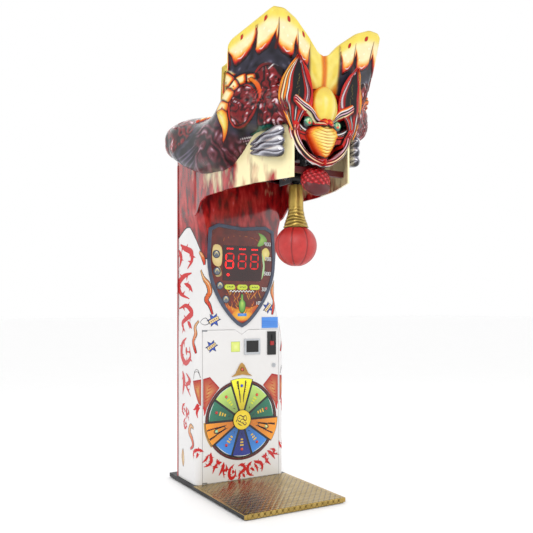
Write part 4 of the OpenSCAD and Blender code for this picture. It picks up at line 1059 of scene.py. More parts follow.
def ears():
    """Hollow pointed ears edged with bundles of strands."""
    rows, cols = 150, 110
    s = np.linspace(0, 1, rows)
    edges = []
    for keys in (EAR_OUT, EAR_IN):
        edges.append(stack(*[keyed([(at, place[i]) for at, place in keys], s) for i in range(3)]))
    a = np.linspace(-1, 1, cols)[None, :, None]
    p = edges[0][:, None] * (1 - a) / 2 + edges[1][:, None] * (1 + a) / 2
    wide = np.linalg.norm(edges[0] - edges[1], axis=1)[:, None]
    hollow = (1 - np.abs(a[..., 0]) ** 3) * wide * 0.2
    aa, ss = np.meshgrid(a.ravel(), s)
    p[..., 1] += hollow * ease(0.25, 0.6, ss) - 10 * (1 - ease(0.2, 0.55, ss)) * np.cos(aa * 1.5)
    wall = linear([(1780, -682), (1900, -690), (1990, -702), (2050, -712), (2094, -728)], p[..., 2])
    wall = wall + 26 * ease(180, 226, np.abs(p[..., 0]))
    p[..., 1] = np.minimum(p[..., 1], wall)
    paint = Paint(aa * 100, ss * 320, BLACK)
    q = paint.u / 100 + 0.035 * np.sin(paint.v / 19) + 0.05 * (noise(paint.u / 40, paint.v / 50, 4) - 0.5)
    stripes = [(-1, ORANGE), (-0.93, (0.97, 0.74, 0.3)), (-0.90, BLACK), (-0.87, RED), (-0.84, CREAM),
        (-0.79, CREAM), (-0.76, BLACK), (-0.73, ORANGE), (-0.66, ORANGE), (-0.63, BLACK), (-0.60, WHITE),
        (-0.56, WHITE), (-0.53, BLACK), (-0.50, RED), (-0.38, (0.62, 0.05, 0.05)), (-0.33, BLACK),
        (0.45, BLACK), (0.50, (0.55, 0.06, 0.07)), (0.60, RED), (0.63, BLACK), (0.67, PINK), (0.74, WHITE),
        (0.77, BLACK), (0.81, (0.75, 0.42, 0.46)), (0.88, BLACK), (0.91, RED), (1, RED)]
    paint.col[:] = ramp(q, stripes)
    low = [(-1, ORANGE), (-0.85, CREAM), (-0.78, BLACK), (-0.70, ORANGE), (-0.58, BLACK), (-0.50, WHITE),
        (-0.40, BLACK), (-0.30, RED), (-0.10, (0.6, 0.05, 0.06)), (0.0, BLACK), (0.10, WHITE),
        (0.18, BLACK), (0.30, RED), (0.48, (0.85, 0.3, 0.1)), (0.56, BLACK), (0.66, PINK), (0.74, BLACK),
        (0.85, RED), (1, MAROON)]
    paint.mix(1 - ease(100, 150, paint.v + 16 * paint.u / 100), ramp(q, low))
    for k in range(16):
        cx, cy = -12 + 38 * noise(np.array([k * 3.1]), np.array([0.5]), 8)[0], 150 + 7 * k
        paint.stroke([(cx, cy), (cx + 5, cy + 6)], [0.8, 0.4], (0.75, 0.66, 0.30), soft=0.8)
    paint.h += 2.2 * np.sin(q * 26) * (np.abs(q) > 0.45)
    paint.mix(ease(300, 318, paint.v) * 0.8, RED)
    for side, sign in SIDES:
        pts = p.copy()
        pts[..., 0] *= sign
        sheet_grid("ear_" + side, pts, paint, 6.0, flip=sign > 0, slot="mask_red")
    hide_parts("ears")


def chrome_pipes():
    """Three swelling lobes a side, with painted reflections: light and dark bands round each lobe, like
    polished metal.
    """
    rows, around = 60, 48
    t = np.linspace(0, 1, rows)[:, None]
    a = circle(around)[None, :]
    radius = linear([(0, 1.0), (0.04, 8), (0.3, 19), (0.6, 28), (0.84, 31), (0.94, 26), (0.99, 12),
        (1, 1.5)], t)
    radius = np.convolve(np.pad(radius.ravel(), 2, mode="edge"), np.ones(5) / 5, "valid")[:, None]
    for side, sign in SIDES:
        points, faces, colours = [], [], []
        for lobe in (-1, 0, 1):
            x = 238 - 30 * t + 16 * t * (1 - t) + radius * np.cos(a) * 0.82
            y = -420 - 252 * t
            z = 1738 + lobe * (20 + 25 * t) - 6 * t + radius * np.sin(a)
            # Painted reflection: light and dark bands set by the angle round the lobe, with a white
            # highlight band on its upper flank.
            tone = np.sin(a) + 0.25 * np.sin(t * 9 + 2 * a)
            shade = ramp(tone.ravel(), [(-1.2, (0.10, 0.10, 0.13)), (-0.75, (0.30, 0.29, 0.34)),
                (-0.35, (0.86, 0.86, 0.9)), (-0.1, (0.12, 0.11, 0.14)), (0.08, (0.55, 0.54, 0.6)),
                (0.45, WHITE), (0.85, (0.62, 0.62, 0.68)), (1.2, (0.16, 0.16, 0.2))])
            start = len(points) * rows * around
            points.append(stack(sign * x, y, z).reshape(-1, 3))
            colours.append(shade)
            faces.extend(grid_faces(rows, around, wrap=True, flip=sign < 0, start=start))
            faces.append([start + i for i in range(around)][::-1 if sign > 0 else 1])
            last = start + (rows - 1) * around
            faces.append([last + i for i in range(around)][::1 if sign > 0 else -1])
        obj = new_mesh("chrome_lobes_" + side, np.vstack(points), faces, np.vstack(colours),
            material="airbrush", slot="pipe_chrome")
        if sign < 0:
            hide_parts("exhaust_pipes")


def tongue_warts():
    """Lumpy tongue that hangs from the mouth."""
    rows, around = 110, 160
    lat, lon, d = ball_grid(rows, around)
    count = 120
    k = np.arange(count) + 0.5
    polar, swirl = np.arccos(1 - 2 * k / count), math.pi * (1 + 5 ** 0.5) * k
    seeds = stack(np.cos(swirl) * np.sin(polar), np.sin(swirl) * np.sin(polar), np.cos(polar))
    near = np.arccos(np.clip(d @ seeds.T, -1, 1)).min(axis=-1)
    wart = np.sqrt(np.clip(1 - (near / 0.19) ** 2, 0, 1))
    size = np.array([72.0, 44.0, 58.0])
    p = d * (size + 5.0 * wart[..., None]) + np.array([0, -618.0, 1578.0])
    p[..., 1] = np.minimum(p[..., 1], -568)
    paint = Paint(lon * 70 + 0 * lat, lat * 70 + 0 * lon, MAROON)
    paint.col[:] = ramp(wart.ravel(), [(0, (0.28, 0.02, 0.04)), (0.5, (0.58, 0.05, 0.08)),
        (0.95, (0.74, 0.12, 0.14)), (1, (0.90, 0.45, 0.46))])
    new_mesh("tongue_skin", p, grid_faces(rows, around, wrap=True), paint.col, slot="tongue_red")


face_front()
forehead()
eyeballs()
ears()
chrome_pipes()
tongue_warts()


# ------------------------------------------------------------- printed art

# Half width of the cabinet's front by height, and the radius of its corners.
FRONT_HW = [(0, 278), (774, 278), (860, 267), (947, 246), (1035, 226), (1154, 226), (1283, 236),
    (1439, 254), (1530, 276), (1600, 278), (1900, 278)]
CORNER = 34.0
FRONT_Y = 112.0
WHEEL_Z = 363.0
LAYER = 0.11


def wrap(u, v):
    """Cabinet skin: u runs round the front from its middle line, v is the height."""
    half = linear(FRONT_HW, v)
    flat = half - CORNER
    side, a = np.sign(u), np.abs(u)
    turn = np.clip((a - flat) / CORNER, 0, math.pi / 2)
    back = np.maximum(a - flat - CORNER * math.pi / 2, 0)
    y = FRONT_Y + CORNER * (1 - np.cos(turn)) + back
    lean = (278 - half) * np.clip((y - 146) / 225, 0, 1)
    x = np.minimum(a, flat) + CORNER * np.sin(turn) + lean
    return stack(side * x, y, v), stack(side * np.sin(turn), -np.cos(turn), 0.0)


def shell_tree(side):
    depsgraph = bpy.context.evaluated_depsgraph_get()
    return BVHTree.FromObject(bpy.data.objects["side_shell_" + side], depsgraph)


SHELLS = {sign: shell_tree(side) for side, sign in SIDES}


def cast(place, normal):
    """Drop analytic points onto the real cabinet skin."""
    out = place.copy()
    for i, (p, n) in enumerate(zip(place, normal)):
        hit = SHELLS[-1 if p[0] < 0 else 1].ray_cast(Vector((p + n * 60) * MM), Vector(-n), 0.12)
        if hit[0] is not None:
            out[i] = np.array(hit[0]) / MM
    return out


def skin(u, v):
    """Places and normals on the real cabinet skin."""
    place, normal = wrap(u, v)
    return cast(place, normal), normal


def flat_front(level):
    """A surface that faces the front at y = level."""
    def surface(u, v):
        return stack(u, level, v), np.tile([0.0, -1.0, 0.0], (len(u), 1))
    return surface


class Art:
    """Thin raised prints on a surface; a higher layer lies over a lower one."""

    def __init__(self, surface, lift=0.15):
        self.surface, self.lift = surface, lift
        self.points, self.faces, self.colours, self.count = [], [], [], 0

    def add(self, uv, faces, colour, layer):
        uv = np.asarray(uv, float)
        place, normal = self.surface(uv[:, 0], uv[:, 1])
        self.points.append(place + normal * (self.lift + LAYER * layer))
        self.colours.append(np.broadcast_to(np.asarray(colour, float), (len(uv), 3)))
        self.faces.extend([[i + self.count for i in f] for f in faces])
        self.count += len(uv)

    def ribbon(self, path, widths, colour, end=None, layer=1, closed=False, steps=6):
        p = spline(path, steps, closed)
        t = np.linspace(0, 1, len(p))
        w = np.interp(t, np.linspace(0, 1, len(np.atleast_1d(widths))), np.atleast_1d(widths))
        run = np.roll(p, -1, 0) - np.roll(p, 1, 0) if closed else np.gradient(p, axis=0)
        run /= np.maximum(np.linalg.norm(run, axis=1), 1e-9)[:, None]
        across = stack(-run[:, 1], run[:, 0]) * w[:, None]
        lanes = np.linspace(-1, 1, 5 if w.max() > 5 else 2)
        uv = np.vstack([p + across * lane for lane in lanes])
        n = len(p)
        faces = [list(f[::-1]) for f in grid_faces(len(lanes), n, wrap=closed)]
        shade = np.tile(np.asarray(colour, float), (n, 1)) if end is None else ramp(t,
            [(0, colour), (1, end)])
        self.add(uv, faces, np.vstack([shade] * len(lanes)), layer)

    def fan(self, outline, colour, layer=1, steps=1, middle=None):
        p = spline(outline, steps, True) if steps > 1 else np.array(outline, float)
        area = np.sum(p[:, 0] * np.roll(p[:, 1], -1) - np.roll(p[:, 0], -1) * p[:, 1])
        p = p if area > 0 else p[::-1]
        p = np.vstack([p, p[:1]])
        run = np.concatenate([[0], np.cumsum(np.hypot(*np.diff(p, axis=0).T))])
        n = max(len(p) - 1, int(run[-1] / 9))
        if n > len(p) - 1:
            at = np.union1d(np.linspace(0, run[-1], n, endpoint=False), run[:-1])
            p = stack(np.interp(at, run, p[:, 0]), np.interp(at, run, p[:, 1]))
        else:
            p = p[:-1]
        n = len(p)
        core = p.mean(0)
        rings = max(1, int(np.hypot(*(p - core).T).max() / 12))
        tone = np.asarray(colour if middle is None else middle, float)
        uv = [p + (core - p) * k / rings for k in range(rings)] + [core[None]]
        shade = [np.tile(np.asarray(colour, float) * (1 - k / rings) + tone * k / rings,
            (n, 1)) for k in range(rings)]
        faces = [list(f[::-1]) for f in grid_faces(rings, n, wrap=True)] if rings > 1 else []
        last = (rings - 1) * n
        faces += [[last + i, last + (i + 1) % n, rings * n] for i in range(n)]
        self.add(np.vstack(uv), faces, np.vstack(shade + [tone[None]]), layer)

    def disc(self, u, v, r, colour, layer=1, middle=None, squeeze=1.0):
        a = circle(36)
        self.fan(stack(u + r * np.cos(a), v + r * squeeze * np.sin(a)), colour, layer, middle=middle)

    def ring(self, u, v, r, width, colour, layer=1, start=0, end=360):
        a = np.radians(np.linspace(start, end, 72 if end - start > 180 else 24))
        uv = [stack(u + q * np.cos(a), v + q * np.sin(a)) for q in (r - width, r)]
        n = len(a)
        faces = [[i, n + i, n + i + 1, i + 1] for i in range(n - 1)]
        self.add(np.vstack(uv), faces, colour, layer)

    def sector(self, v, low, high, middle, half, gap, colour, rim, layer=1):
        """A wheel sector about (0, v), drawn a little inside its dividers."""
        rows, cols = 6, 14
        uv, shade = [], []
        for k, r in enumerate(np.linspace(low, high, rows)):
            inset = gap / r
            a = np.linspace(middle - half + inset, middle + half - inset, cols)
            uv.append(stack(r * np.cos(a), v + r * np.sin(a)))
            mix = k / (rows - 1)
            shade.append(np.tile(np.array(colour) * (1 - mix) + np.array(rim) * mix, (cols, 1)))
        self.add(np.vstack(uv), grid_faces(rows, cols, flip=True), np.vstack(shade), layer)

    def build(self, name, body="machine", material="print", slot="cabinet_white", depth=0.2):
        obj = new_mesh(name, np.vstack(self.points), self.faces, np.vstack(self.colours), material=material,
            body=body, slot=slot, smooth=False)
        thicken(obj, depth)


TAN = (0.80, 0.58, 0.34)
BLUE = (0.12, 0.26, 0.66)
PRINT_RED = (0.80, 0.07, 0.09)
# One object each; flat_front takes the y of the face that is printed.
FRONT, SIDE = Art(skin, 0.2), Art(skin, 0.4)
DOOR, WHEEL, HUB = Art(flat_front(FRONT_Y)), Art(flat_front(110.5)), Art(flat_front(106.0))
PANEL, GLASS = Art(flat_front(107.0)), Art(flat_front(106.0))


def tendril(art, path, widest):
    """A tapering horn: black outline, then tan, orange and red."""
    grow = [0.3, 0.8, 1.0, 0.9, 0.7, 0.25]
    art.ribbon(path, [widest * g + 3.6 for g in grow], BLACK, layer=0)
    p = spline(path, 6)
    n = len(p)
    cut = int(n * 0.55)
    middle = (0.86, 0.40, 0.10)
    art.ribbon(p[:cut + 1], [widest * g for g in grow[:4]], (0.84, 0.64, 0.40), end=middle, layer=1,
        steps=1)
    art.ribbon(p[cut:], [widest * g for g in grow[3:]], middle, end=PRINT_RED, layer=1, steps=1)
    art.ribbon(p[2:cut] + (widest * 0.3, 0), [0.6, 1.4, 0.6], (0.99, 0.93, 0.78), layer=2, steps=1)


def star(art, u, v, r, tilt=0.0):
    """Six-pointed badge with a cream band."""
    def spokes(size):
        a = np.arange(12) * math.pi / 6 + tilt
        reach = np.where(np.arange(12) % 2 == 0, size, size * 0.5)
        return stack(u + reach * np.cos(a), v + reach * 0.92 * np.sin(a))
    art.fan(spokes(r + 5), BLACK, 0)
    art.fan(spokes(r), BLUE, 1, middle=(0.25, 0.42, 0.80))
    c, s = math.cos(tilt + 0.35), math.sin(tilt + 0.35)
    corners = [(-r * 0.72, -r * 0.24), (r * 0.72, -r * 0.24), (r * 0.72, r * 0.24), (-r * 0.72, r * 0.24)]
    for grow, colour, layer in ((1.12, BLACK, 2), (1.0, (0.93, 0.84, 0.62), 3)):
        art.fan([(u + grow * (a * c - b * s), v + grow * (a * s + b * c)) for a, b in corners], colour,
            layer)
    for k in range(4):
        a = (k - 1.5) * r * 0.3
        art.ribbon([(u + a * c + 0.12 * r * s, v + a * s - 0.12 * r * c),
            (u + a * c - 0.12 * r * s, v + a * s + 0.12 * r * c)], [r * 0.06], (0.62, 0.34, 0.12), layer=4,
            steps=1)


def claw_glyph(art, u, v, size, kind, turn=0.0, wide=0.8, layer=1):
    """An abstract flame mark made of hooked claws."""
    shapes = [
        [[(-0.35, 0.5), (-0.1, 0.32), (0.28, 0.12), (0.3, -0.2), (0.05, -0.48)],
            [(-0.42, 0.3), (-0.3, 0), (-0.38, -0.36)]],
        [[(0.3, 0.5), (-0.1, 0.36), (-0.36, 0.05), (-0.2, -0.3), (0.25, -0.46)],
            [(-0.05, 0.1), (0.22, 0.0), (0.4, -0.2)]],
        [[(-0.4, 0.42), (0.05, 0.5), (0.36, 0.2), (0.05, 0.02), (-0.3, -0.2), (-0.15, -0.5)],
            [(0.1, -0.1), (0.38, -0.4)]],
        [[(0.02, 0.5), (-0.32, 0.22), (-0.34, -0.2), (0.0, -0.44), (0.34, -0.18), (0.26, 0.2)],
            [(0.0, 0.16), (0.06, -0.14)]],
        [[(-0.3, 0.48), (-0.2, 0.1), (-0.34, -0.42)], [(0.0, 0.4), (0.3, 0.1), (0.0, -0.06),
            (0.32, -0.46)]],
        [[(0.36, 0.44), (0.02, 0.28), (-0.28, 0.46)], [(0.04, 0.34), (-0.04, -0.05), (0.1, -0.5)],
            [(-0.3, -0.1), (0.3, 0.02)]],
    ]
    c, s = math.cos(turn), math.sin(turn)
    for j, line in enumerate(shapes[kind % 6]):
        path = [(u + size * (a * wide * c - b * s), v + size * (a * wide * s + b * c)) for a, b in line]
        thick = size * (0.10 if j == 0 else 0.075)
        art.ribbon(path, [thick * 0.25, thick, thick * 1.15, thick * 0.8, thick * 0.15], PRINT_RED,
            layer=layer + 1 + j)
        p = spline(path, 6)
        for q in range(3, len(p) - 2, 4):
            run = p[q + 1] - p[q - 1]
            run /= max(np.linalg.norm(run), 1e-9)
            out = np.array([-run[1], run[0]]) * (1 if (q // 4 + kind) % 2 else -1)
            base, tip = p[q], p[q] + out * thick * 2.3 + run * thick * 0.9
            art.fan([base - run * thick * 0.7, base + run * thick * 0.7, tip], PRINT_RED, layer)


def cabinet_prints():
    """Claw marks, tendrils, stars and kicking bags on the cabinet and the door."""
    for k, (top, low) in enumerate(((1352, 1204), (1186, 1036), (1000, 856), (822, 672), (640, 494))):
        claw_glyph(SIDE, -392 - 6 * (k % 2), (top + low) / 2, top - low, k, 0.06 * (-1) ** k, 1.15)
        claw_glyph(SIDE, 398, (top + low) / 2, top - low, k + 2, -0.06 * (-1) ** k, 1.15)
    for side in (-1, 1):
        for u, v, size, kind in ((378, 402, 78, 4), (430, 420, 70, 1), (408, 345, 62, 3)):
            claw_glyph(SIDE, side * u, v, size, kind)
        tendril(SIDE, [(side * u, v) for u, v in ((296, 334), (334, 342), (352, 306), (318, 276),
            (304, 240), (340, 214))], 13)
        spindle = [(side * 440, 200), (side * 462, 158), (side * 450, 112), (side * 436, 98),
            (side * 424, 140)]
        SIDE.fan(spindle, BLACK, 0, steps=5)
        SIDE.fan([(a * 0.985 + side * 6.6, b * 0.9 + 15) for a, b in spindle], TAN, 1, steps=5,
            middle=CREAM)
        SIDE.ribbon([(side * 442, 186), (side * 448, 150), (side * 440, 116)], [1, 3, 1], (0.4, 0.1, 0.06),
            layer=2)
    for widest, path in ((11, [(-268, 1296), (-246, 1278), (-232, 1252), (-226, 1222)]),
            (12, [(-256, 1196), (-232, 1150), (-206, 1118), (-196, 1075), (-216, 1034), (-198, 1002),
            (-180, 952)]), (12, [(-262, 918), (-292, 886), (-284, 846), (-304, 806), (-288, 770),
            (-276, 742)]), (11, [(222, 1146), (206, 1110), (200, 1076), (216, 1030), (206, 990),
            (198, 950)]), (11, [(262, 900), (270, 862), (284, 822), (270, 780), (256, 738)])):
        tendril(FRONT, path, widest)
    FRONT.ribbon([(-250, 912), (-222, 934), (-202, 906), (-228, 896)], [1, 2.2, 1], (0.25, 0.25, 0.28),
        closed=True)
    star(FRONT, -172, 922, 40, 0.1)
    star(FRONT, 170, 990, 34, 0.5)
    star(DOOR, -185, 778, 36, 0.2)
    label = [(-66, 744), (-12, 744), (-12, 800), (-66, 800)]
    DOOR.fan(label, (0.86, 0.92, 0.42), 1, middle=(0.93, 0.96, 0.62))
    DOOR.ribbon(label, [1.0], (0.55, 0.6, 0.3), layer=2, closed=True, steps=1)
    # Kicking bags either side of the wheel, split at the door edge.
    for side in (-1, 1):
        on_door = [(236, 603), (196, 612), (137, 549), (180, 500), (212, 448), (222, 420), (236, 448)]
        on_shell = [(304, 592), (248, 602), (248, 456), (262, 470)]
        for art, shape in ((DOOR, on_door), (FRONT, on_shell)):
            p = np.array([(side * a, b) for a, b in shape], float)
            art.fan(p, (0.66, 0.05, 0.06), 1)
            art.fan(p * 0.92 + p.mean(0) * 0.08, (0.70, 0.22, 0.16), 2, middle=(0.86, 0.66, 0.36))
        for k in range(6):
            DOOR.ribbon([(side * (230 - 6 * k), 470 + 20 * k), (side * (200 - 5 * k), 486 + 19 * k)],
                [3, 0.5], (0.74, 0.10, 0.09), layer=3, steps=1)
        for art, path, widths in ((FRONT, [(262, 466), (284, 440), (300, 436)], [10, 6, 1]),
                (FRONT, [(262, 452), (272, 420), (266, 392)], [9, 6, 1]),
                (DOOR, [(234, 450), (226, 424), (232, 402)], [5, 6, 1])):
            art.ribbon([(side * a, b) for a, b in path], widths, PRINT_RED, layer=3)
        for low, high, width in ((602, 646, 36), (606, 636, 22)):
            loop = [(side * 296, low), (side * (292 - width * 0.2), high), (side * 266, high + 6),
                (side * 252, low + 8)]
            FRONT.ribbon(loop, [1.3], (0.18, 0.16, 0.18), layer=1)
    # A ring of claw marks under the wheel.
    ring_r, door_reach = 292, 226
    for k in range(11):
        a = math.radians(-146 + 11.2 * k)
        u, v = ring_r * math.cos(a), WHEEL_Z + ring_r * math.sin(a)
        if abs(u) < door_reach:
            claw_glyph(DOOR, u, v, 84, k * 5 + 1, a + math.pi / 2, 0.66, 1 + 4 * (k % 2))
        else:
            claw_glyph(FRONT, u + math.copysign(32, u), v, 76, k * 5 + 1, a + math.pi / 2, 0.66)


def wheel_prints():
    """Ring, ten sectors with their marks, and the hub."""
    mid, half = WHEEL_Z, math.radians(18)
    light, dark, sky, navy = (0.62, 0.74, 0.36), (0.08, 0.38, 0.28), (0.17, 0.46, 0.78), (0.07, 0.14, 0.48)
    amber, lemon = (0.93, 0.52, 0.08), (0.95, 0.84, 0.12)
    plan = [lemon, light, dark, amber, sky, navy, sky, amber, dark, light]
    tan, lime = (0.90, 0.74, 0.22), (0.84, 0.86, 0.2)
    ink, ember = (0.05, 0.04, 0.04), (0.20, 0.05, 0.03)
    small_r, big_r, hinge_r = 203, 233, 224
    WHEEL.disc(0, mid, 213, (0.03, 0.03, 0.035), 0)
    WHEEL.ring(0, mid, 223, 10, (0.36, 0.04, 0.07), 1)
    WHEEL.ring(0, mid, 224.5, 2, BLACK, 2)
    for i, colour in enumerate(plan):
        a = math.radians(90 - 36 * i)
        # Three sectors stand out; the one beside the hinge is shorter, to clear the jamb.
        big = i in (0, 3, 7)
        rim = tuple(min(1, c * 1.12 + 0.06) for c in colour)
        high = (hinge_r if i == 7 else big_r) if big else small_r
        if big:
            WHEEL.sector(mid, 54, high, a, half, 0.8, ink, ink, 3)
            high -= 2
        WHEEL.sector(mid, 56, high, a, half, 6.0, tuple(c * 0.85 for c in colour), rim, 4)
        spot, cross = np.array([math.cos(a), math.sin(a)]), np.array([-math.sin(a), math.cos(a)])

        def at(r, s):
            p = spot * r + cross * s
            return p[0], p[1] + mid

        if big:
            for s, bend in ((-20, 5), (20, -5)):
                WHEEL.ribbon([at(96, s * 0.45), at(140, s * 0.9 + bend), at(180, s),
                    at(218, s * 1.5 + bend)], [1.2, 4.0, 2.6, 3.6], ember, layer=6)
            for j in range(5):
                WHEEL.ribbon([at(214 - 9 * j, 34 - 2 * j), at(209 - 9 * j, 24 - 2 * j)], [2.6], ember,
                    layer=6, steps=1)
                WHEEL.ribbon([at(206 - 12 * j, -30 + 2 * j), at(200 - 12 * j, -22 + 2 * j)], [3.0, 1.6],
                    (0.62, 0.10, 0.04), layer=6, steps=1)
            if i:
                capsule = [at(118, 8), at(165, 11), at(180, 0), at(165, -11), at(118, -8), at(110, 0)]
                WHEEL.ribbon(capsule, [2.4], (0.08, 0.05, 0.04), layer=6, closed=True)
        else:
            for j in range(3):
                reach = 9 - 1.5 * j
                WHEEL.ribbon([at(142 - 16 * j, -reach * 1.2), at(142 - 16 * j, reach * 1.2)], [4.2],
                    tan if 1 < i < 9 else lime, layer=6, steps=1)
            WHEEL.ribbon([at(196, -50), at(201, -20), at(202, 20), at(196, 50)], [0.4, 1.6, 1.6, 0.4],
                (0.92, 0.95, 0.93), layer=6)
            WHEEL.ribbon([at(76, -3), at(88, 4)], [2.0, 0.6], ink, layer=6, steps=1)
    HUB.disc(0, mid, 57, (0.06, 0.05, 0.05), 0)
    HUB.disc(0, mid, 54, (0.93, 0.80, 0.10), 1, middle=(0.98, 0.90, 0.28))
    face = [[(-30, 16), (-12, 26), (6, 16), (20, 22), (30, 8)], [(-30, 16), (-26, -2), (-12, -8), (-6, 4)],
        [(-6, 4), (8, 2), (22, -6), (30, 8)], [(-14, -10), (2, -18), (18, -30), (26, -20), (18, -14)],
        [(-22, 8), (-14, 12)], [(4, 8), (12, 10)], [(-28, -14), (-16, -26), (0, -32)],
        [(-34, 4), (-38, -10)]]
    for line in face:
        HUB.ribbon([(a, b + mid) for a, b in line], [1.8, 3.0, 1.4], (0.34, 0.20, 0.03), layer=2)


def dome(points, faces, colours, x, y, z, r, tall, colour):
    """Adds one lens dome to the lists of an object."""
    rings, around = 8, 28
    a = circle(around)
    start = sum(len(p) for p in points)
    lat = np.linspace(0, math.pi / 2 * 0.98, rings)
    for t in lat:
        points.append(stack(x + r * math.cos(t) * np.cos(a), y - tall * math.sin(t),
            z + r * math.cos(t) * np.sin(a)))
    faces.extend(grid_faces(rings, around, wrap=True, start=start))
    faces.append([start + (rings - 1) * around + i for i in range(around)])
    faces.append([start + i for i in range(around)][::-1])
    shade = np.concatenate([np.tile(np.array(colour) * (0.75 + 0.25 * t / lat[-1]),
        (around, 1)) for t in lat])
    colours.append(shade)


def wheel_lamps():
    """Ten lens domes in one object; the top one sits further out."""
    orange, ruby, scarlet = (0.90, 0.30, 0.14), (0.80, 0.08, 0.10), (0.82, 0.10, 0.12)
    tints = [(0.10, 0.25, 0.85), orange, ruby, (0.90, 0.94, 0.60), scarlet, (0.90, 0.22, 0.12), scarlet,
        (0.66, 0.92, 0.72), ruby, orange]
    points, faces, colours = [], [], []
    for i, tint in enumerate(tints):
        a = math.radians(90 - 36 * i)
        r = 190 if i == 0 else 165
        dome(points, faces, colours, r * math.cos(a), 110.4, WHEEL_Z + r * math.sin(a), 9.0, 5.0, tint)
    obj = new_mesh("wheel_lamp_domes", np.vstack(points), faces, np.vstack(colours), material="eye",
        body="service_door", slot="lamp_red")
    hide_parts("wheel_lamps")


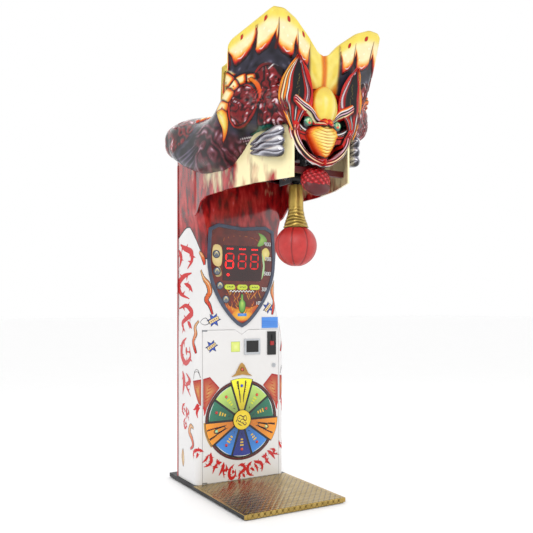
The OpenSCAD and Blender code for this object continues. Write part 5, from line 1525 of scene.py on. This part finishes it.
def panel_prints():
    """Everything printed or lit on the display: flames, scale, flask, digits, emblems and ovals."""
    rng = np.random.default_rng(7)
    glow = [(-118, 1010), (-60, 940), (0, 908), (60, 940), (118, 1010), (60, 990), (0, 1000), (-60, 985)]
    PANEL.fan(glow, (0.72, 0.22, 0.06), 1, steps=4, middle=(0.97, 0.80, 0.20))
    PANEL.disc(0, 948, 62, (0.90, 0.55, 0.10), 2, middle=(0.99, 0.90, 0.40), squeeze=0.5)
    for k in range(44):
        x = -170 + 7.8 * k + rng.uniform(-5, 5)
        z = 1050 + rng.uniform(-60, 80) - 0.2 * abs(x)
        path = [(x, z)]
        for j in range(3):
            path.append((path[-1][0] + rng.uniform(-15, 15), path[-1][1] - rng.uniform(10, 20)))
        if abs(path[-1][0]) < 150 - (1060 - path[-1][1]) * 0.5:
            PANEL.ribbon(path, [0.8, 2.2, 0.8], (0.86, 0.34, 0.08), end=(0.97, 0.74, 0.2), layer=2, steps=1)
    for k in range(8):
        a = 0.5 + 0.28 * k
        PANEL.ribbon([(150 * math.cos(a), 1240 + 90 * math.sin(a) + 60),
            (132 * math.cos(a + 0.1), 1350 + 40 * math.sin(a))], [1, 3, 1], (0.80, 0.42, 0.12), layer=1,
            steps=1)
    for layer, rim, middle, outline in ((2, (0.45, 0.66, 0.30), (0.72, 0.84, 0.42),
            [(98, 1340), (120, 1392), (104, 1412), (140, 1400), (160, 1372), (132, 1344)]),
            (2, (0.90, 0.82, 0.42), (0.97, 0.92, 0.62), [(128, 1312), (158, 1330), (178, 1300), (160, 1262),
            (140, 1262)]), (3, (0.62, 0.80, 0.52), (0.86, 0.94, 0.78),
            [(124, 1150), (134, 1200), (136, 1250), (126, 1300), (144, 1250), (142, 1190)]),
            (1, (0.86, 0.76, 0.50), (0.94, 0.88, 0.66), [(-128, 1322), (-176, 1330), (-184, 1250),
            (-160, 1218), (-128, 1230)]), (1, (0.70, 0.62, 0.40), None,
            [(-128, 1170), (-160, 1160), (-168, 1200), (-140, 1214)])):
        PANEL.fan(outline, rim, layer, steps=4, middle=middle)
    flask = [(-6, 1062), (6, 1062), (7, 1036), (20, 1016), (16, 976), (0, 962), (-16, 976), (-20, 1016),
        (-7, 1036)]
    PANEL.fan([(a * 1.14, (b - 1012) * 1.08 + 1012) for a, b in flask], BLACK, 3, steps=3)
    PANEL.fan(flask, (0.30, 0.55, 0.20), 4, steps=3, middle=(0.74, 0.88, 0.40))
    PANEL.fan([(-28, 942), (28, 942), (28, 958), (-28, 958)], (0.20, 0.45, 0.80), 4,
        middle=(0.45, 0.68, 0.94))
    zig = [(-78 + 9.6 * k, 1081 + (5 if k % 2 else -4)) for k in range(17)]
    for width, colour, layer in ((4.2, BLACK, 3), (2.2, WHITE, 4)):
        PANEL.ribbon(zig, [width], colour, layer=layer, steps=2)
    strokes = {"0": [[(-1, -1.6), (-1, 1.6), (1, 1.6), (1, -1.6), (-1, -1.6)]],
        "1": [[(-0.5, 1), (0.2, 1.6), (0.2, -1.6)]], "3": [[(-1, 1.6), (1, 1.6), (0, 0.2), (1, -0.6),
        (0.4, -1.6), (-1, -1.4)]], "5": [[(1, 1.6), (-0.9, 1.6), (-0.9, 0.2), (0.6, 0.3), (0.9, -1),
        (-0.2, -1.6), (-1, -1.2)]], "7": [[(-1, 1.6), (1, 1.6), (-0.3, -1.6)]],
        "9": [[(0.9, 0.2), (-0.8, 0.2), (-0.8, 1.6), (0.9, 1.6), (0.9, 0), (0.3, -1.6)]]}
    for word, x, z in (("900", 163, 1352), ("700", 166, 1268), ("500", 162, 1184), ("300", 146, 1094),
            ("100", 108, 1016)):
        for k, ch in enumerate(word):
            for line in strokes[ch]:
                path = [(x + (k - 1) * 15 + 4.6 * a, z + 5.6 * b) for a, b in line]
                PANEL.ribbon(path, [4.0], BLACK, layer=3, steps=1)
                PANEL.ribbon(path, [1.9], WHITE, layer=4, steps=1)
    # Lit digits, captions and lamp behind the window.
    bright, dim = (1.0, 0.10, 0.10), (0.30, 0.012, 0.02)
    lit, pitch, middle_z = ["abcdef", "abcdefg", "abcdefg"], 78, 1249
    segment = {"a": ((-20, 40), (20, 40)), "b": ((23, 37), (23, 4)), "c": ((23, -4), (23, -37)),
        "d": ((-20, -40), (20, -40)), "e": ((-23, -4), (-23, -37)), "f": ((-23, 37), (-23, 4)),
        "g": ((-19, 0), (19, 0))}
    for k in range(3):
        cx = (k - 1) * pitch
        for key, ends in segment.items():
            tone = bright if (k == 0 and key in "cdefg") else (0.62, 0.04, 0.05) if key in lit[k] else dim
            GLASS.ribbon([(cx + a + b * 0.06, middle_z + b) for a, b in ends], [1.5, 4.6, 4.6, 1.5], tone,
                layer=1, steps=3)
        for j in range(4):
            left = cx - 18 + 11 * j
            GLASS.ribbon([(left, 1316), (left + 7, 1316 + (j % 2) * 2)], [4.4], (0.92, 0.10, 0.12), layer=1,
                steps=1)
    GLASS.disc(-88, 1172, 8, bright, 1)
    # Emblems and ovals.
    crest = Art(flat_front(104.8))
    for x, z in ((-160, 1283), (-156, 1190), (-138, 1112), (-102, 1036)):
        crest.ring(x, z, 22, 4, (0.16, 0.18, 0.24), 1)
        crest.ribbon([(x - 12, z - 6), (x - 4, z + 8), (x + 9, z + 5), (x + 12, z - 6)], [1, 4, 3, 1],
            (0.80, 0.76, 0.55), layer=2)
        crest.ribbon([(x - 9, z + 9), (x, z + 14), (x + 9, z + 10)], [0.6, 2.4, 0.6], WHITE, layer=2)
    crest.build("emblem_prints", slot="emblem_grey")
    for i, x in enumerate((-78, 0, 78)):
        face = Art(flat_front(102.0))
        for j in range(4):
            face.ribbon([(x - 17 + 10 * j, 1104), (x - 11 + 10 * j, 1104 + (j % 2) * 3)], [2.6],
                (0.25, 0.32, 0.06), layer=1, steps=1)
        face.ring(x, 1104, 11, 1.2, (0.93, 0.95, 0.55), 1, 20, 160)
        face.build("oval_print_" + str(i + 1), body="select_button_" + str(i + 1), slot="button_green")


def stud_print():
    """Red face of the pointer's stud."""
    stud = Art(flat_front(102.8))
    stud.disc(0, 645, 7.6, (0.70, 0.05, 0.04), 1, middle=(0.96, 0.42, 0.32))
    stud.build("pointer_stud_face", body="service_door", material="eye", slot="lamp_red")


cabinet_prints()
wheel_prints()
stud_print()
wheel_lamps()
panel_prints()
FRONT.build("cabinet_prints")
SIDE.build("side_prints")
DOOR.build("door_prints", body="service_door")
WHEEL.build("wheel_prints", body="service_door", slot="wheel_print")
HUB.build("hub_prints", body="service_door", slot="wheel_print")
PANEL.build("panel_prints", slot="panel_maroon")
GLASS.build("window_lights", material="lit", slot="window_red")


# ------------------------------------------------------- camera, floor, light

def make_camera():
    """The camera that was fitted to the photo."""
    data = bpy.data.cameras.new("camera")
    cam = bpy.data.objects.new("camera", data)
    bpy.context.scene.collection.objects.link(cam)
    cam.location = (-1.735, -3.152, 0.989)
    cam.rotation_euler = (math.radians(90), 0, math.radians(-30.15))
    data.sensor_width = 36
    data.lens = 44.56
    data.shift_y = 0.0775
    bpy.context.scene.camera = cam


def make_floor():
    """A pale floor that reaches far behind the machine."""
    size = 60.0
    mesh = bpy.data.meshes.new("floor")
    mesh.from_pydata([(-size, -size, 0), (size, -size, 0), (size, size, 0), (-size, size, 0)], [],
        [(0, 1, 2, 3)])
    floor = bpy.data.objects.new("floor", mesh)
    bpy.context.scene.collection.objects.link(floor)
    mesh.materials.append(MATERIALS["floor"])


def area_light(name, place, target, size, power):
    data = bpy.data.lights.new(name, "AREA")
    data.size = size
    data.energy = power
    lamp = bpy.data.objects.new(name, data)
    bpy.context.scene.collection.objects.link(lamp)
    lamp.location = place
    lamp.rotation_mode = "QUATERNION"
    lamp.rotation_quaternion = (Vector(target) - Vector(place)).to_track_quat("-Z", "Y")


def make_light():
    """White surroundings and three soft lamps."""
    world = bpy.data.worlds.new("studio")
    world.use_nodes = True
    world.node_tree.nodes["Background"].inputs["Color"].default_value = (1, 1, 1, 1)
    world.node_tree.nodes["Background"].inputs["Strength"].default_value = 1.0
    bpy.context.scene.world = world
    bpy.context.scene.view_settings.view_transform = "Standard"
    middle = (0, 0, 1.2)
    area_light("key", (-2.6, -3.6, 3.6), middle, 2.2, 60)
    area_light("fill", (3.2, -2.6, 2.0), middle, 2.6, 20)
    area_light("back", (0.5, 3.2, 3.0), middle, 2.4, 20)


make_camera()
make_floor()
make_light()
